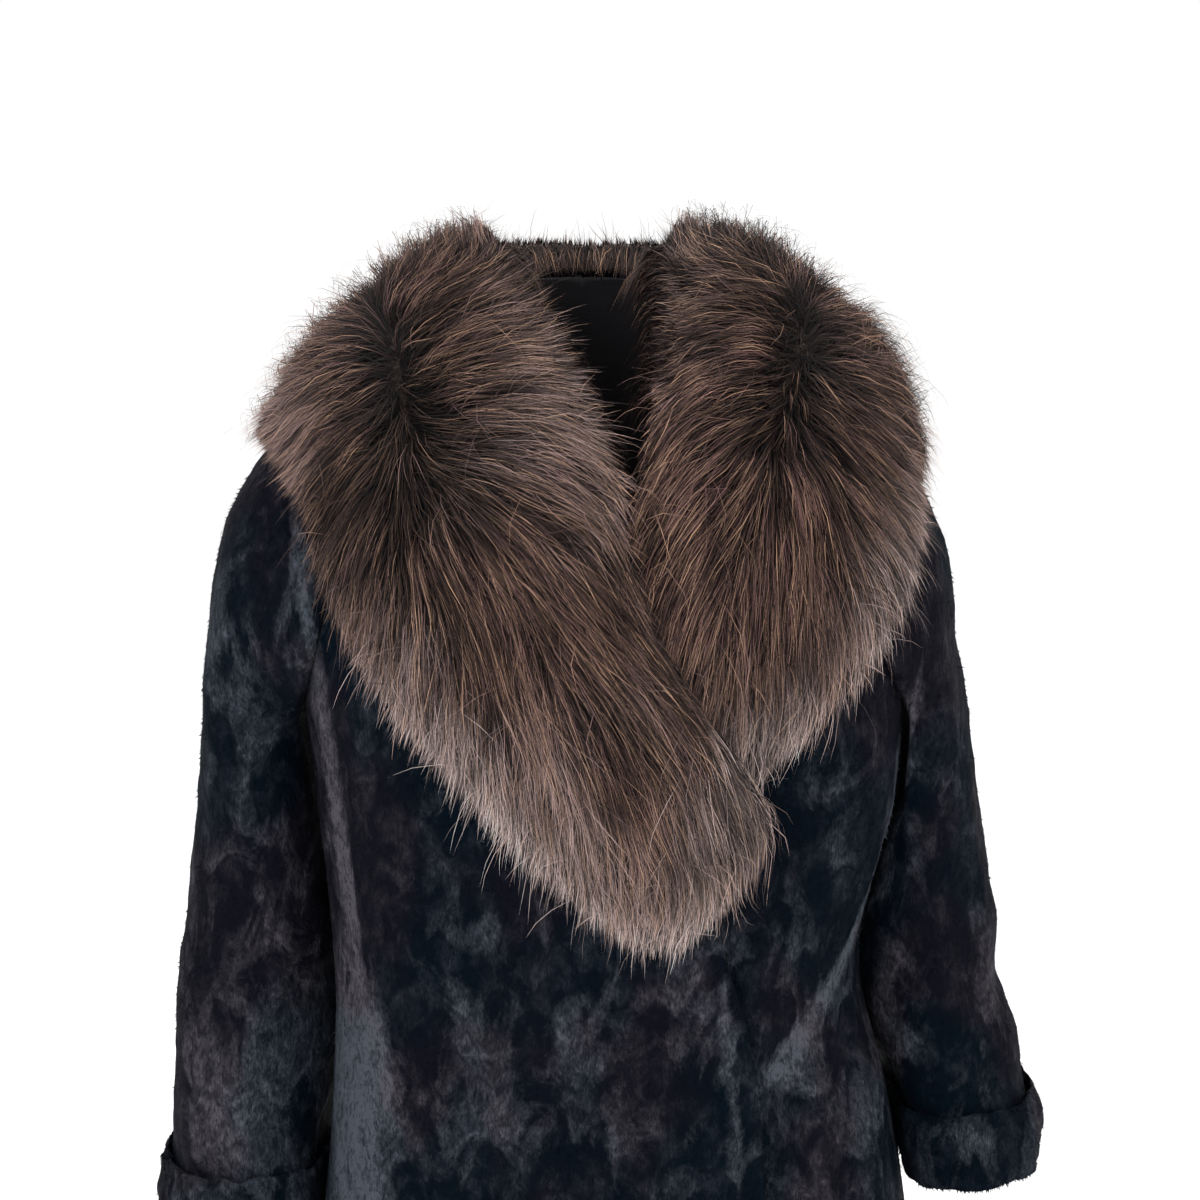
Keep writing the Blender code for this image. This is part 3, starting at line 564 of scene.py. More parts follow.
@dataclass
class MinkPanel:
    """One cut piece of sheared mink: a thin shell on its cloth wall, and the nap that stands on it."""

    node: str
    flat: tuple[float, float]
    area: float
    lined: bool = True
    relief: float = 0.0022
    nap_density: float = 54000.0
    nap_wide: float = 0.0017
    nap_long: float = 0.0052
    nap_sunk: float = 0.0008
    nap_rise: tuple[float, float] = (14.0, 40.0)
    nap_long_share: tuple[float, float] = (0.6, 1.15)
    nap_wide_share: tuple[float, float] = (0.35, 0.6)
    swirl: float = 1.3
    swirl_fine: float = 17.0
    swirl_stray: float = 0.35
    height_share: float = 0.35
    outer_lean: float = -0.25
    quick_share: float = 0.3
    weld: float = 0.00003
    rim_angle: float = 50.0
    rim_crease: float = 0.85
    wide_fine: Triple = (30.0, 30.0, 19.0)
    close_fine: Triple = (84.0, 84.0, 60.0)
    seam_rise: float = 0.0007
    seam_flat: float = 0.004
    seam_fade: float = 0.012
    body_middle: Triple = (0.012, -0.008, -0.10)
    sleeve_levels: int = 24
    sleeve_reach: float = 0.03
    swell: float = 0.0030
    swell_x: float = 0.216
    swell_z: float = -0.55
    swell_wide: float = 0.03
    swell_high: float = 0.045

    def build(self, mink: Material, lining: Material, seed: int) -> list[Object]:
        """Make the shell and its nap.

        Args:
            mink: the outer side's material.
            lining: the inner side's.
            seed: what the nap's draws begin from.

        Returns:
            The two pieces.
        """
        shell = self.shell()
        self.smooth(shell)
        outside = self.outside(shell.data)
        self.raise_nap(shell.data, outside)
        give_pale_nap_and_highlight(shell.data, points_of(shell.data))
        shell.data.materials.append(mink)
        if self.lined:
            shell.data.materials.append(lining)
            shell.data.polygons.foreach_set("material_index", np.where(outside, 0, 1).astype(np.int32))
        nap = self.nap(shell.data, outside, np.random.default_rng(SEED + seed))
        nap.data.materials.append(mink)
        for piece in (shell, nap):
            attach(piece, ROOT)
        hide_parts(self.node)
        return [shell, nap]

    def shell(self) -> Object:
        """Copy the cloth wall and join its loose triangles up.

        Returns:
            The shell.
        """
        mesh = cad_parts[self.node].data.copy()
        mesh.name = "mink_" + self.node
        mesh.materials.clear()
        thing = in_scene(mesh)
        only(thing)
        bpy.ops.mesh.customdata_custom_splitnormals_clear()
        bpy.ops.object.mode_set(mode="EDIT")
        bpy.ops.mesh.select_all(action="SELECT")
        bpy.ops.mesh.remove_doubles(threshold=self.weld)
        flatness, squareness = math.radians(40.0), math.radians(60.0)
        bpy.ops.mesh.tris_convert_to_quads(face_threshold=flatness, shape_threshold=squareness)
        bpy.ops.object.mode_set(mode="OBJECT")
        return thing

    def smooth(self, thing: Object) -> None:
        """Round the shell, and keep its rims.

        Args:
            thing: the shell.
        """
        shape = bmesh.new()
        shape.from_mesh(thing.data)
        keep = shape.edges.layers.float.new("crease_edge")
        for edge in shape.edges:
            edge.smooth = True
            if edge.calc_face_angle(0.0) > math.radians(self.rim_angle):
                edge[keep] = self.rim_crease
        shape.to_mesh(thing.data)
        shape.free()
        only(thing)
        rounded = thing.modifiers.new("rounded", "SUBSURF")
        rounded.levels = rounded.render_levels = 2
        bpy.ops.object.modifier_apply(modifier=rounded.name)
        bpy.ops.object.shade_smooth()

    def outside(self, mesh: Mesh) -> Array:
        """Tell the outer side's faces, and its rims', from the inner side's.

        Args:
            mesh: the shell's.

        Returns:
            Whether each face is an outer one.
        """
        centres, facing = read(mesh.polygons, "center", 3), read(mesh.polygons, "normal", 3)
        if not self.lined:
            return np.ones(len(centres), bool)
        away = centres - self.middle(centres)
        away[:, 2] *= self.height_share
        return np.einsum("ij,ij->i", unit(away), facing) > self.outer_lean

    def middle(self, places: Array) -> Array:
        """Give the middle line's point beside each place: the body's, or the sleeve's own.

        Args:
            places: the places, a row each.

        Returns:
            The points.
        """
        if not self.node.startswith("sleeve"):
            middle = np.tile(np.array(self.body_middle), (len(places), 1))
            middle[:, 2] = np.minimum(places[:, 2], self.body_middle[2])
            return middle
        levels = np.linspace(places[:, 2].min(), places[:, 2].max(), self.sleeve_levels)
        near = np.abs(places[:, 2][None, :] - levels[:, None]) < self.sleeve_reach
        line = np.array([places[row].mean(axis=0) for row in near])
        return np.stack([np.interp(places[:, 2], levels, line[:, axis]) for axis in range(3)], axis=1)

    def raise_nap(self, mesh: Mesh, outside: Array) -> None:
        """Move the outer points in and out a little, as plush does, and close the left sleeve up to the body.

        The rims, where the outer side meets the inner one, only rise a little, so that no seam opens.

        Args:
            mesh: the shell's.
            outside: whether each face is an outer one.
        """
        points, facing = points_of(mesh), normals_of(mesh)
        corners = read(mesh.loops, "vertex_index", 1, np.int32)
        outer_corners = np.repeat(outside, read(mesh.polygons, "loop_total", 1, np.int32))
        outer = np.unique(corners[outer_corners])
        border = np.intersect1d(outer, corners[~outer_corners])
        rims = KDTree(max(len(border), 1))
        for index in border:
            rims.insert(points[index], int(index))
        rims.balance()
        for index in outer:
            spot = Vector(points[index])
            wide = noise.noise(spot * Vector(self.wide_fine))
            close = noise.noise(spot * Vector(self.close_fine) + Vector((0.0, 0.0, 7.0)))
            across = (spot.x - self.swell_x) / self.swell_wide
            high = (spot.z - self.swell_z) / self.swell_high
            from_seam = rims.find(spot)[2] if len(border) else 1.0
            inland = float(ease((from_seam - self.seam_flat) / self.seam_fade))
            rise = self.relief * (0.9 * wide + 0.6 * close) * inland + self.seam_rise * (1.0 - inland)
            points[index] += facing[index] * (rise + self.swell * math.exp(-(across**2 + high**2)))
        mesh.vertices.foreach_set("co", points.astype(np.float32).ravel())
        mesh.update()

    def nap(self, mesh: Mesh, outside: Array, draw: np.random.Generator) -> Object:
        """Make the short tufts that stand on the outer side and soften its outline.

        Args:
            mesh: the shell's.
            outside: whether each face is an outer one.
            draw: the source of chance.

        Returns:
            The nap.
        """
        roots, normal = self.scatter(mesh, outside, draw)
        number = len(roots)
        down = np.array([0.0, 0.0, -1.0]) - normal * -normal[:, 2:3]
        down = unit(down + 0.02 * draw.normal(size=down.shape))
        across = unit(np.cross(normal, down))
        swirl = np.array([noise.noise(Vector(place) * self.swirl_fine) for place in roots])
        turn = (self.swirl * swirl + self.swirl_stray * draw.normal(size=number))[:, None]
        lie = down * np.cos(turn) + across * np.sin(turn)
        wide = np.cross(normal, lie)
        rise = np.radians(draw.uniform(*self.nap_rise, number))[:, None]
        long = self.nap_long * draw.uniform(*self.nap_long_share, number)[:, None]
        half = self.nap_wide * draw.uniform(*self.nap_wide_share, number)[:, None]
        sunk = roots - normal * self.nap_sunk
        tips = sunk + (lie * np.cos(rise) + normal * np.sin(rise)) * long
        made = np.stack([sunk + wide * half, sunk - wide * half, tips], axis=1).reshape(-1, 3)
        tilt = draw.normal(size=(number, 1)) * 0.30
        seen = unit(normal + lie * tilt + wide * draw.normal(size=(number, 1)) * 0.25)
        nap = mesh_of("nap_" + self.node, made, np.arange(number * 3).reshape(-1, 3))
        set_normals(nap, np.repeat(seen, 3, axis=0))
        give_pale_nap_and_highlight(nap, made)
        return in_scene(nap)

    def scatter(self, mesh: Mesh, outside: Array, draw: np.random.Generator) -> tuple[Array, Array]:
        """Choose places all over the outer side.

        Args:
            mesh: the shell's.
            outside: whether each face is an outer one.
            draw: the source of chance.

        Returns:
            The places, and the way the shell faces there.
        """
        mesh.calc_loop_triangles()
        faces = read(mesh.loop_triangles, "polygon_index", 1, np.int32)
        corners = read(mesh.loop_triangles, "vertices", 3, np.int32)[outside[faces]]
        points, facing = points_of(mesh), normals_of(mesh)
        a, b, c = (points[corners[:, column]] for column in range(3))
        areas = np.linalg.norm(np.cross(b - a, c - a), axis=1) / 2.0
        number = int(areas.sum() * self.nap_density * (1.0))
        chosen = draw.choice(len(areas), number, p=areas / areas.sum())
        u, v = draw.random(number), draw.random(number)
        flip = u + v > 1.0
        u[flip], v[flip] = 1.0 - u[flip], 1.0 - v[flip]
        u, v = u[:, None], v[:, None]
        ways = [facing[corners[chosen, column]] for column in range(3)]
        roots = a[chosen] * (1 - u - v) + b[chosen] * u + c[chosen] * v
        return roots, unit(ways[0] * (1 - u - v) + ways[1] * u + ways[2] * v)


@dataclass
class MinkCuff(MinkPanel):
    """A turned-back cuff, whose fur is on both sides, stands closer and is more uneven."""

    lined: bool = False
    relief: float = 0.0064
    nap_density: float = 150000.0
    nap_wide: float = 0.0015


PANELS = (
    MinkPanel("back", (0.86, 1.10), 0.632),
    MinkPanel("front_right", (0.62, 1.11), 0.399),
    MinkPanel("front_left", (0.56, 1.11), 0.372),
    MinkPanel("sleeve_right", (0.50, 0.65), 0.226),
    MinkPanel("sleeve_left", (0.48, 0.60), 0.193),
    MinkCuff("cuff_right", (0.47, 0.062), 0.026),
    MinkCuff("cuff_left", (0.45, 0.062), 0.025),
)


# ------------------------------------------------------------ the collar


class Section(NamedTuple):
    """A straight line across the collar, from its neck edge to its outer one. Across is to its own side."""

    neck_across: float
    neck_y: float
    neck_z: float
    rim_across: float
    rim_y: float
    rim_z: float


CENTRE_SECTIONS = tabled(
    Section,
    (0, 0.074, 0.032, 0, 0.162, -0.196),
    (0.036, 0.064, 0.034, 0.092, 0.158, -0.192),
)
RIGHT_SECTIONS = CENTRE_SECTIONS + tabled(
    Section,
    (0.058, 0.038, 0.036, 0.186, 0.122, -0.166),
    (0.058, 0.008, 0.042, 0.236, 0.04, -0.104),
    (0.044, -0.034, 0.02, 0.222, -0.044, -0.106),
    (0.01, -0.082, -0.036, 0.196, -0.096, -0.14),
    (-0.015, -0.122, -0.086, 0.18, -0.116, -0.2),
    (-0.034, -0.15, -0.138, 0.136, -0.144, -0.26),
    (-0.05, -0.166, -0.2, 0.084, -0.158, -0.314),
    (-0.078, -0.17, -0.25, 0.034, -0.162, -0.366),
    (-0.107, -0.168, -0.294, -0.018, -0.164, -0.412),
    (-0.128, -0.166, -0.338, -0.072, -0.164, -0.432),
    (-0.133, -0.164, -0.372, -0.104, -0.164, -0.42),
)
LEFT_SECTIONS = CENTRE_SECTIONS + tabled(
    Section,
    (0.06, 0.038, 0.036, 0.192, 0.122, -0.166),
    (0.058, 0.008, 0.04, 0.252, 0.04, -0.104),
    (0.058, -0.04, 0.014, 0.252, -0.036, -0.132),
    (0.056, -0.084, -0.036, 0.248, -0.068, -0.18),
    (0.048, -0.116, -0.086, 0.224, -0.098, -0.228),
    (0.036, -0.136, -0.138, 0.186, -0.122, -0.268),
    (0.014, -0.144, -0.196, 0.15, -0.142, -0.3),
    (0.006, -0.146, -0.24, 0.112, -0.148, -0.33),
    (0.006, -0.146, -0.276, 0.076, -0.15, -0.352),
)


class Comb(NamedTuple):
    """How the hair lies at one place of the collar.

    Along runs from 0 at the centre back to 1 at the tip, and out from 0 at the neck edge to 1 at the outer
    edge. Turn is 0 where the hair points at the outer edge, 90 at the tip and 180 at the neck. Lift is in
    degrees, long in metres. Tone runs from -1, dark, to 1, pale, and grey from 0, brown, to 1, ashen.
    """

    along: float
    out: float
    turn: float
    lift: float
    long: float
    tone: float
    grey: float


# The tone column is partly the fur's own colour and partly painted light: painted shade where one part of the
# collar shades the next, and painted highlight where the fur catches the light.
NAPE_COMB = tabled(
    Comb,
    (0, 0, 180, 30, 0.03, 0.6, 0.3),
    (0, 0.3, 0, 36, 0.046, -0.2, 0.1),
    (0, 0.65, 0, 28, 0.05, 0, 0.1),
    (0, 0.95, 0, 22, 0.042, 0.4, 0.5),
    (0.17, 0, 180, 30, 0.03, 0.6, 0.3),
    (0.17, 0.3, -5, 36, 0.046, -0.2, 0.1),
    (0.17, 0.65, -5, 28, 0.05, 0.1, 0.1),
    (0.17, 0.95, 0, 22, 0.042, 0.5, 0.4),
)
RIGHT_COMB = NAPE_COMB + tabled(
    Comb,
    (0.27, 0.05, -100, 55, 0.052, -0.1, 0.2),
    (0.29, 0.35, -85, 50, 0.052, -0.1, 0.1),
    (0.29, 0.55, -80, 40, 0.052, 0.2, 0.1),
    (0.3, 0.75, -70, 28, 0.052, 0.7, 0.2),
    (0.31, 0.2, -90, 55, 0.052, -0.2, 0.1),
    (0.345, 0.32, -165, 52, 0.042, -0.3, 0),
    (0.345, 0.54, -35, 40, 0.044, 0.3, 0.1),
    (0.36, 0.9, -10, 20, 0.038, 1.4, 0.2),
    (0.37, 0.7, -10, 26, 0.044, 1.3, 0.2),
    (0.385, 0.34, 175, 46, 0.042, -0.7, 0),
    (0.385, 0.56, -14, 38, 0.044, -0.7, 0),
    (0.39, 0, -175, 42, 0.034, -0.2, 0.3),
    (0.39, 0.15, -175, 42, 0.04, -0.2, 0.1),
    (0.4, 0.7, 0, 30, 0.044, 0.9, 0.2),
    (0.4, 0.9, 0, 20, 0.038, 0.6, 0.2),
    (0.425, 0.3, 165, 38, 0.044, -0.2, 0.1),
    (0.425, 0.42, 165, 48, 0.042, -0.7, 0),
    (0.425, 0.61, -6, 42, 0.044, -0.9, 0),
    (0.43, 0.05, 165, 32, 0.036, 0.1, 0.3),
    (0.43, 0.2, 160, 30, 0.044, 0.1, 0.2),
    (0.44, 0.9, 10, 26, 0.04, -0.5, 0.2),
    (0.46, 0.8, 12, 34, 0.042, -1.2, 0),
    (0.465, 0.47, 155, 48, 0.042, -0.6, 0),
    (0.465, 0.66, 6, 45, 0.044, -1.3, 0),
    (0.47, 0.9, 25, 28, 0.042, -0.7, 0.1),
    (0.48, 0.05, 150, 28, 0.038, 0.3, 0.4),
    (0.48, 0.2, 150, 24, 0.046, 0.8, 0.2),
    (0.48, 0.6, 70, 60, 0.042, -1.4, 0),
    (0.48, 0.7, 35, 45, 0.044, -1.3, 0),
    (0.49, 0.5, 150, 40, 0.046, -0.6, 0.3),
    (0.5, 0.3, 145, 26, 0.05, 0.4, 0.3),
    (0.51, 0.2, 135, 24, 0.048, 0.7, 0.3),
    (0.51, 0.8, 45, 30, 0.046, -0.6, 0.1),
    (0.51, 0.95, 35, 22, 0.04, -0.1, 0.3),
    (0.52, 0.6, 80, 38, 0.05, -0.8, 0),
    (0.54, 0.3, 125, 26, 0.052, 0.1, 0),
    (0.56, 0.2, 120, 24, 0.05, 0.2, 0.2),
    (0.56, 0.85, 45, 24, 0.044, 0.1, 0.2),
    (0.58, 0.5, 90, 28, 0.054, -0.15, 0),
    (0.59, 0.4, 105, 26, 0.054, -0.15, 0),
    (0.62, 0.8, 50, 24, 0.05, 0.6, 0.4),
    (0.63, 0.95, 30, 20, 0.04, 0.8, 0.7),
    (0.64, 0.6, 75, 26, 0.054, -0.05, 0),
    (0.67, 0.2, 105, 24, 0.054, -0.1, 0),
    (0.69, 0.8, 50, 24, 0.05, 1, 0.7),
    (0.69, 0.95, 30, 20, 0.04, 1.1, 0.9),
    (0.7, 0.05, 100, 24, 0.048, -0.3, 0.1),
    (0.7, 0.6, 75, 26, 0.054, 0.2, 0.1),
    (0.73, 0.2, 100, 24, 0.054, -0.2, 0.1),
    (0.76, 0.05, 88, 24, 0.048, -0.7, 0.1),
    (0.76, 0.6, 65, 24, 0.052, 0.6, 0.3),
    (0.76, 1, 30, 18, 0.038, 0.9, 1),
    (0.78, 0.4, 75, 24, 0.054, 0.2, 0),
    (0.79, 0.2, 85, 24, 0.054, -0.2, 0.1),
    (0.81, 0.95, 35, 20, 0.042, 0.8, 0.9),
    (0.82, 0.7, 55, 24, 0.048, 0.7, 0.4),
    (0.84, 0.5, 65, 24, 0.052, 0.7, 0.1),
    (0.86, 1, 30, 18, 0.038, 0.8, 1),
    (0.88, 0.05, 70, 24, 0.046, 0.2, 0.6),
    (0.9, 0.6, 40, 24, 0.048, 0.7, 0.3),
    (0.92, 0.3, 60, 24, 0.05, 0.4, 0.5),
    (0.96, 0.5, 35, 22, 0.046, 0.8, 0.8),
    (0.97, 0.8, 20, 18, 0.038, 0.8, 1),
)
LEFT_COMB = NAPE_COMB + tabled(
    Comb,
    (0.37, 0.2, -80, 60, 0.052, -0.2, 0.2),
    (0.37, 0.7, 105, 34, 0.044, 0.2, 0.2),
    (0.38, 0.5, -65, 45, 0.052, 0, 0.1),
    (0.39, 0.3, -75, 55, 0.052, -0.2, 0.1),
    (0.39, 0.8, 110, 26, 0.042, 0.4, 0.3),
    (0.4, 0.05, -105, 55, 0.052, -0.2, 0.3),
    (0.415, 0.3, -150, 52, 0.042, -0.4, 0.1),
    (0.415, 0.46, -40, 46, 0.044, -0.2, 0),
    (0.45, 0.2, 155, 46, 0.042, -0.4, 0.1),
    (0.45, 0.6, -15, 32, 0.046, 0, 0.1),
    (0.455, 0.32, 165, 46, 0.042, -0.6, 0),
    (0.455, 0.5, -25, 42, 0.044, -0.3, 0),
    (0.46, 0.05, 150, 40, 0.036, -0.1, 0.3),
    (0.46, 0.75, -25, 24, 0.042, 0.3, 0.3),
    (0.5, 0.32, 150, 46, 0.042, -0.6, 0),
    (0.5, 0.5, -10, 42, 0.046, -0.4, 0),
    (0.5, 0.65, 0, 30, 0.046, -0.1, 0.1),
    (0.51, 0.05, 145, 34, 0.038, 0, 0.2),
    (0.51, 0.15, 150, 36, 0.042, -0.2, 0.1),
    (0.51, 0.8, -10, 22, 0.042, 0.3, 0.4),
    (0.54, 0.6, 20, 28, 0.048, -0.1, 0.1),
    (0.55, 0.29, 140, 46, 0.044, -0.6, 0),
    (0.55, 0.46, 12, 42, 0.048, -0.4, 0),
    (0.56, 0.05, 140, 30, 0.04, 0, 0.2),
    (0.56, 0.15, 130, 32, 0.044, -0.1, 0),
    (0.56, 0.8, 5, 22, 0.042, 0.2, 0.6),
    (0.56, 0.95, 15, 18, 0.036, 0.6, 0.9),
    (0.6, 0.15, 120, 30, 0.046, 0, 0),
    (0.6, 0.27, 125, 44, 0.046, -0.5, 0),
    (0.6, 0.45, 38, 40, 0.048, -0.3, 0),
    (0.61, 0.8, 10, 22, 0.044, 0.1, 0.5),
    (0.61, 0.9, 30, 18, 0.036, 0.4, 0.9),
    (0.65, 0.8, 20, 22, 0.042, 0.1, 0.8),
    (0.65, 0.9, 45, 18, 0.036, 0.4, 1),
    (0.66, 0.15, 110, 28, 0.048, 0.15, 0),
    (0.66, 0.25, 108, 36, 0.048, -0.2, 0),
    (0.66, 0.44, 56, 34, 0.052, 0, 0),
    (0.69, 0.5, 60, 30, 0.054, 0.2, 0),
    (0.69, 0.7, 45, 26, 0.05, 0.1, 0.1),
    (0.69, 0.9, 45, 20, 0.04, 0.2, 0.9),
    (0.71, 0.15, 100, 28, 0.05, 0.2, 0),
    (0.74, 0.75, 45, 24, 0.046, 0.2, 0.3),
    (0.75, 0.55, 55, 28, 0.052, 0, 0),
    (0.77, 0.2, 90, 28, 0.052, 0.1, 0),
    (0.79, 0.6, 55, 28, 0.05, 0, 0.1),
    (0.79, 0.75, 55, 22, 0.044, 0.4, 0.7),
    (0.81, 0.2, 80, 28, 0.05, 0, 0),
    (0.84, 0.75, 55, 22, 0.042, 0.1, 0.8),
    (0.85, 0.35, 70, 28, 0.048, -0.1, 0.1),
    (0.85, 0.9, 55, 18, 0.036, 0.2, 1),
    (0.9, 0.4, 70, 26, 0.044, 0, 0.3),
    (0.91, 0.85, 50, 18, 0.036, 0.5, 1),
    (0.97, 0.8, 40, 20, 0.038, 0.5, 1),
)


class Side(Enum):
    """The wearer's side, and which way across it lies."""

    RIGHT = -1
    LEFT = 1


class Place(NamedTuple):
    """Rows of places on the collar's skin, and how far it runs there as along and out go from 0 to 1."""

    point: Array
    normal: Array
    along: Array
    out: Array


class Hairs(NamedTuple):
    """The points of each hair, the way the skin faces beneath them, and their colours."""

    path: Array
    normals: Array
    colours: Array


class Lay(NamedTuple):
    """How the hair lies at rows of places. The way is an angle, and is firm where the strength is 1."""

    way: Array
    strength: Array
    lift: Array
    long: Array
    tone: Array
    grey: Array


@dataclass(frozen=True)
class Coat:
    """One kind of hair. Its shares and factors are against what the comb table says."""

    name: str
    strands: int
    pieces: int
    segments: int
    half_width: float
    long: float
    lift: float
    stray: float
    gather: float
    wild: float
    wisp: float
    shade: float
    contrast: float
    golden: float


# The shade column scales each coat's colour, partly as painted light: the down is dark as painted shade in
# the gaps between the locks, and the wisps are pale as painted light through thin hair at the outline.
COATS = tabled(
    Coat,
    ("down", 76000, 2, 2, 0.00040, 0.80, 0.0, 0.15, 0.34, 0.00, 0.002, 0.25, 0.9, 0.00),
    ("guard", 58000, 2, 3, 0.00025, 1.10, 4.0, 0.20, 0.60, 0.12, 0.006, 1.05, 1.3, 0.42),
    ("wisp", 10000, 1, 4, 0.00012, 1.45, 15.0, 0.34, 0.10, 0.20, 0.018, 1.70, 1.2, 0.35),
)


@dataclass(frozen=True)
class HairDye:
    """The hair's colours, as red, green and blue."""

    warm: Triple = (0.040, 0.0215, 0.0195)
    ash: Triple = (0.165, 0.132, 0.124)
    golden: Triple = (0.360, 0.218, 0.140)
    root: Triple = (0.0085, 0.0068, 0.0078)
    octaves: float = 1.55
    darkest: float = -1.9
    palest: float = 1.1
    most: float = 0.8
    stops: tuple[float, ...] = (0.0, 0.35, 0.75, 1.0)

    def colours(self, tone: Array, grey: Array, draw: np.random.Generator, coat: Coat) -> Array:
        """Colour each hair from its root to its tip.

        Args:
            tone: how pale each hair is.
            grey: how ashen.
            draw: the source of chance.
            coat: the kind of hair.

        Returns:
            A colour for each point along each hair.
        """
        warm, ash, golden, root = (np.array(one) for one in (self.warm, self.ash, self.golden, self.root))
        grey = np.clip(grey, 0.0, 1.0)[:, None]
        factor = coat.shade * 2.0 ** (self.octaves * np.clip(tone, self.darkest, self.palest))[:, None]
        body = (warm * (1.0 - grey) + ash * grey) * factor
        chosen = (draw.random(len(tone)) < coat.golden)[:, None]
        bright = chosen * draw.random((len(tone), 1)) * (1.0 - 0.6 * grey)
        shine = body * (1.0 - bright) + golden * bright * np.clip(factor, 0.3, 1.3)
        # From root to tip the colour rises; the paler tips are partly the hair's own colour and partly
        # painted light shining through the thin tips.
        keys = np.stack([root * 0.6 + body * 0.22, body * 0.70, shine * 1.15, shine * 1.45], axis=1)
        made = []
        for share in np.linspace(0.0, 1.0, coat.segments + 1):
            first = min(int(np.searchsorted(self.stops, share, side="right")) - 1, len(self.stops) - 2)
            part = (share - self.stops[first]) / (self.stops[first + 1] - self.stops[first])
            made.append(keys[:, first] * (1.0 - part) + keys[:, first + 1] * part)
        return np.clip(np.stack(made, axis=1), 0.0, self.most)


DYE = HairDye()


@dataclass
class CollarHalf:
    """Half of the shawl collar: a body of underfur, and the skin that long hair grows from.

    Shares of the collar's length and width run from 0 to 1, as in the comb table.
    """

    side: Side
    sections: tuple[Section, ...]
    combs: tuple[Comb, ...]
    share: float
    rim_inset: float = 0.0
    tip_inset: float = 0.012
    rows: int = 97
    columns: int = 33
    across: float = 0.21
    skin: float = 0.60
    neck_round: float = 0.22
    neck_low: float = 0.30
    rim_round: float = 0.30
    rim_low: float = 0.10
    tip_round: float = 0.12
    tip_low: float = 0.15
    floor_gap: float = 0.0012
    body_end: float = 0.955
    body_rim: float = 0.86
    probe: float = 0.20
    stand_passes: int = 14
    fill_passes: int = 60
    even_passes: int = 3
    comb_reach: float = 0.0145
    far_reach: float = 0.03
    far_weight: float = 0.02

    def __post_init__(self) -> None:
        """Name the half and lay out its sections and its skin."""
        self.word = self.side.name.lower()
        self.node = "collar_" + self.word
        self.lay_sections()
        self.find_depth()
        self.lay_skin()

    def lay_sections(self) -> None:
        """Space the sections evenly along the collar on a smooth curve, and find the way the fur stands."""
        table = np.array(self.sections, float)
        table[:, [0, 3]] *= self.side.value
        middles = (table[:, :3] + table[:, 3:]) / 2.0
        places = np.concatenate([[0.0], np.cumsum(np.linalg.norm(np.diff(middles, axis=0), axis=1))])
        self.length = float(places[-1])
        at = np.linspace(0.0, places[-1], self.rows)
        low = np.clip(np.searchsorted(places, at, side="right") - 1, 0, len(places) - 2)
        span = places[low + 1] - places[low]
        share = ((at - places[low]) / span)[:, None]
        number = np.arange(len(table))
        before, after = np.maximum(number - 1, 0), np.minimum(number + 1, len(table) - 1)
        slope = (table[after] - table[before]) / (places[after] - places[before])[:, None]
        leave, arrive = slope[low] * span[:, None], slope[low + 1] * span[:, None]
        curve = (
            table[low] * (2 * share**3 - 3 * share**2 + 1)
            + leave * (share**3 - 2 * share**2 + share)
            + table[low + 1] * (3 * share**2 - 2 * share**3)
            + arrive * (share**3 - share**2)
        )
        self.neck, self.rim = curve[:, :3], curve[:, 3:]
        run = np.gradient((self.neck + self.rim) / 2.0, axis=0)
        run[0] = (self.side.value, 0.0, 0.0)
        stand = unit(np.cross(run, self.rim - self.neck) * self.side.value)
        for _ in range(self.stand_passes):
            stand[1:-1] = unit(stand[:-2] + 2.0 * stand[1:-1] + stand[2:])
        self.stand = stand

    def find_depth(self) -> None:
        """Find how high the collar's solid stands and how low it lies over each place of the sections."""
        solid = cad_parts[self.node].data
        solid.calc_loop_triangles()
        corners = read(solid.loop_triangles, "vertices", 3, np.int32)
        tree = BVHTree.FromPolygons(points_of(solid).tolist(), corners.tolist())
        top, low = np.full((2, self.rows, self.columns), np.nan)
        end_inset, edge_inset, step_in = 0.35, 0.015, 0.002
        for row in range(self.rows):
            inset = min(max(row, end_inset), self.rows - 1 - end_inset)
            first = int(inset)
            part, after = inset - first, min(first + 1, self.rows - 1)
            neck = self.neck[first] * (1 - part) + self.neck[after] * part
            rim = self.rim[first] * (1 - part) + self.rim[after] * part
            stand = Vector(self.stand[row])
            for column, share in enumerate(np.linspace(edge_inset, 1.0 - edge_inset, self.columns)):
                chord = Vector(neck * (1 - share) + rim * share)
                hit = tree.ray_cast(chord + stand * self.probe, -stand, 2.0 * self.probe)
                if hit[0] is None:
                    continue
                top[row, column] = self.probe - hit[3]
                under = tree.ray_cast(hit[0] - stand * step_in, -stand, self.probe)
                if under[0] is not None:
                    low[row, column] = top[row, column] - step_in - under[3]
        self.top, self.low = self.fill(top), self.fill(low)

    def fill(self, grid: Array) -> Array:
        """Fill the gaps of a grid from their neighbours and even it out a little.

        Args:
            grid: the grid, with NaN in its gaps.

        Returns:
            The whole grid.
        """
        missing = np.isnan(grid)
        LOG.info("%s: %d of %d depths filled in", self.node, int(missing.sum()), grid.size)
        grid = np.where(missing, np.nanmean(grid), grid)
        for _ in range(self.fill_passes):
            grid = np.where(missing, self.evened(grid), grid)
        for _ in range(self.even_passes):
            grid = self.evened(grid)
        return grid

    @staticmethod
    def evened(grid: Array) -> Array:
        """Mix each value of a grid with its neighbours."""
        wide = np.pad(grid, 1, mode="edge")
        return (2.0 * grid + wide[:-2, 1:-1] + wide[2:, 1:-1] + wide[1:-1, :-2] + wide[1:-1, 2:]) / 6.0

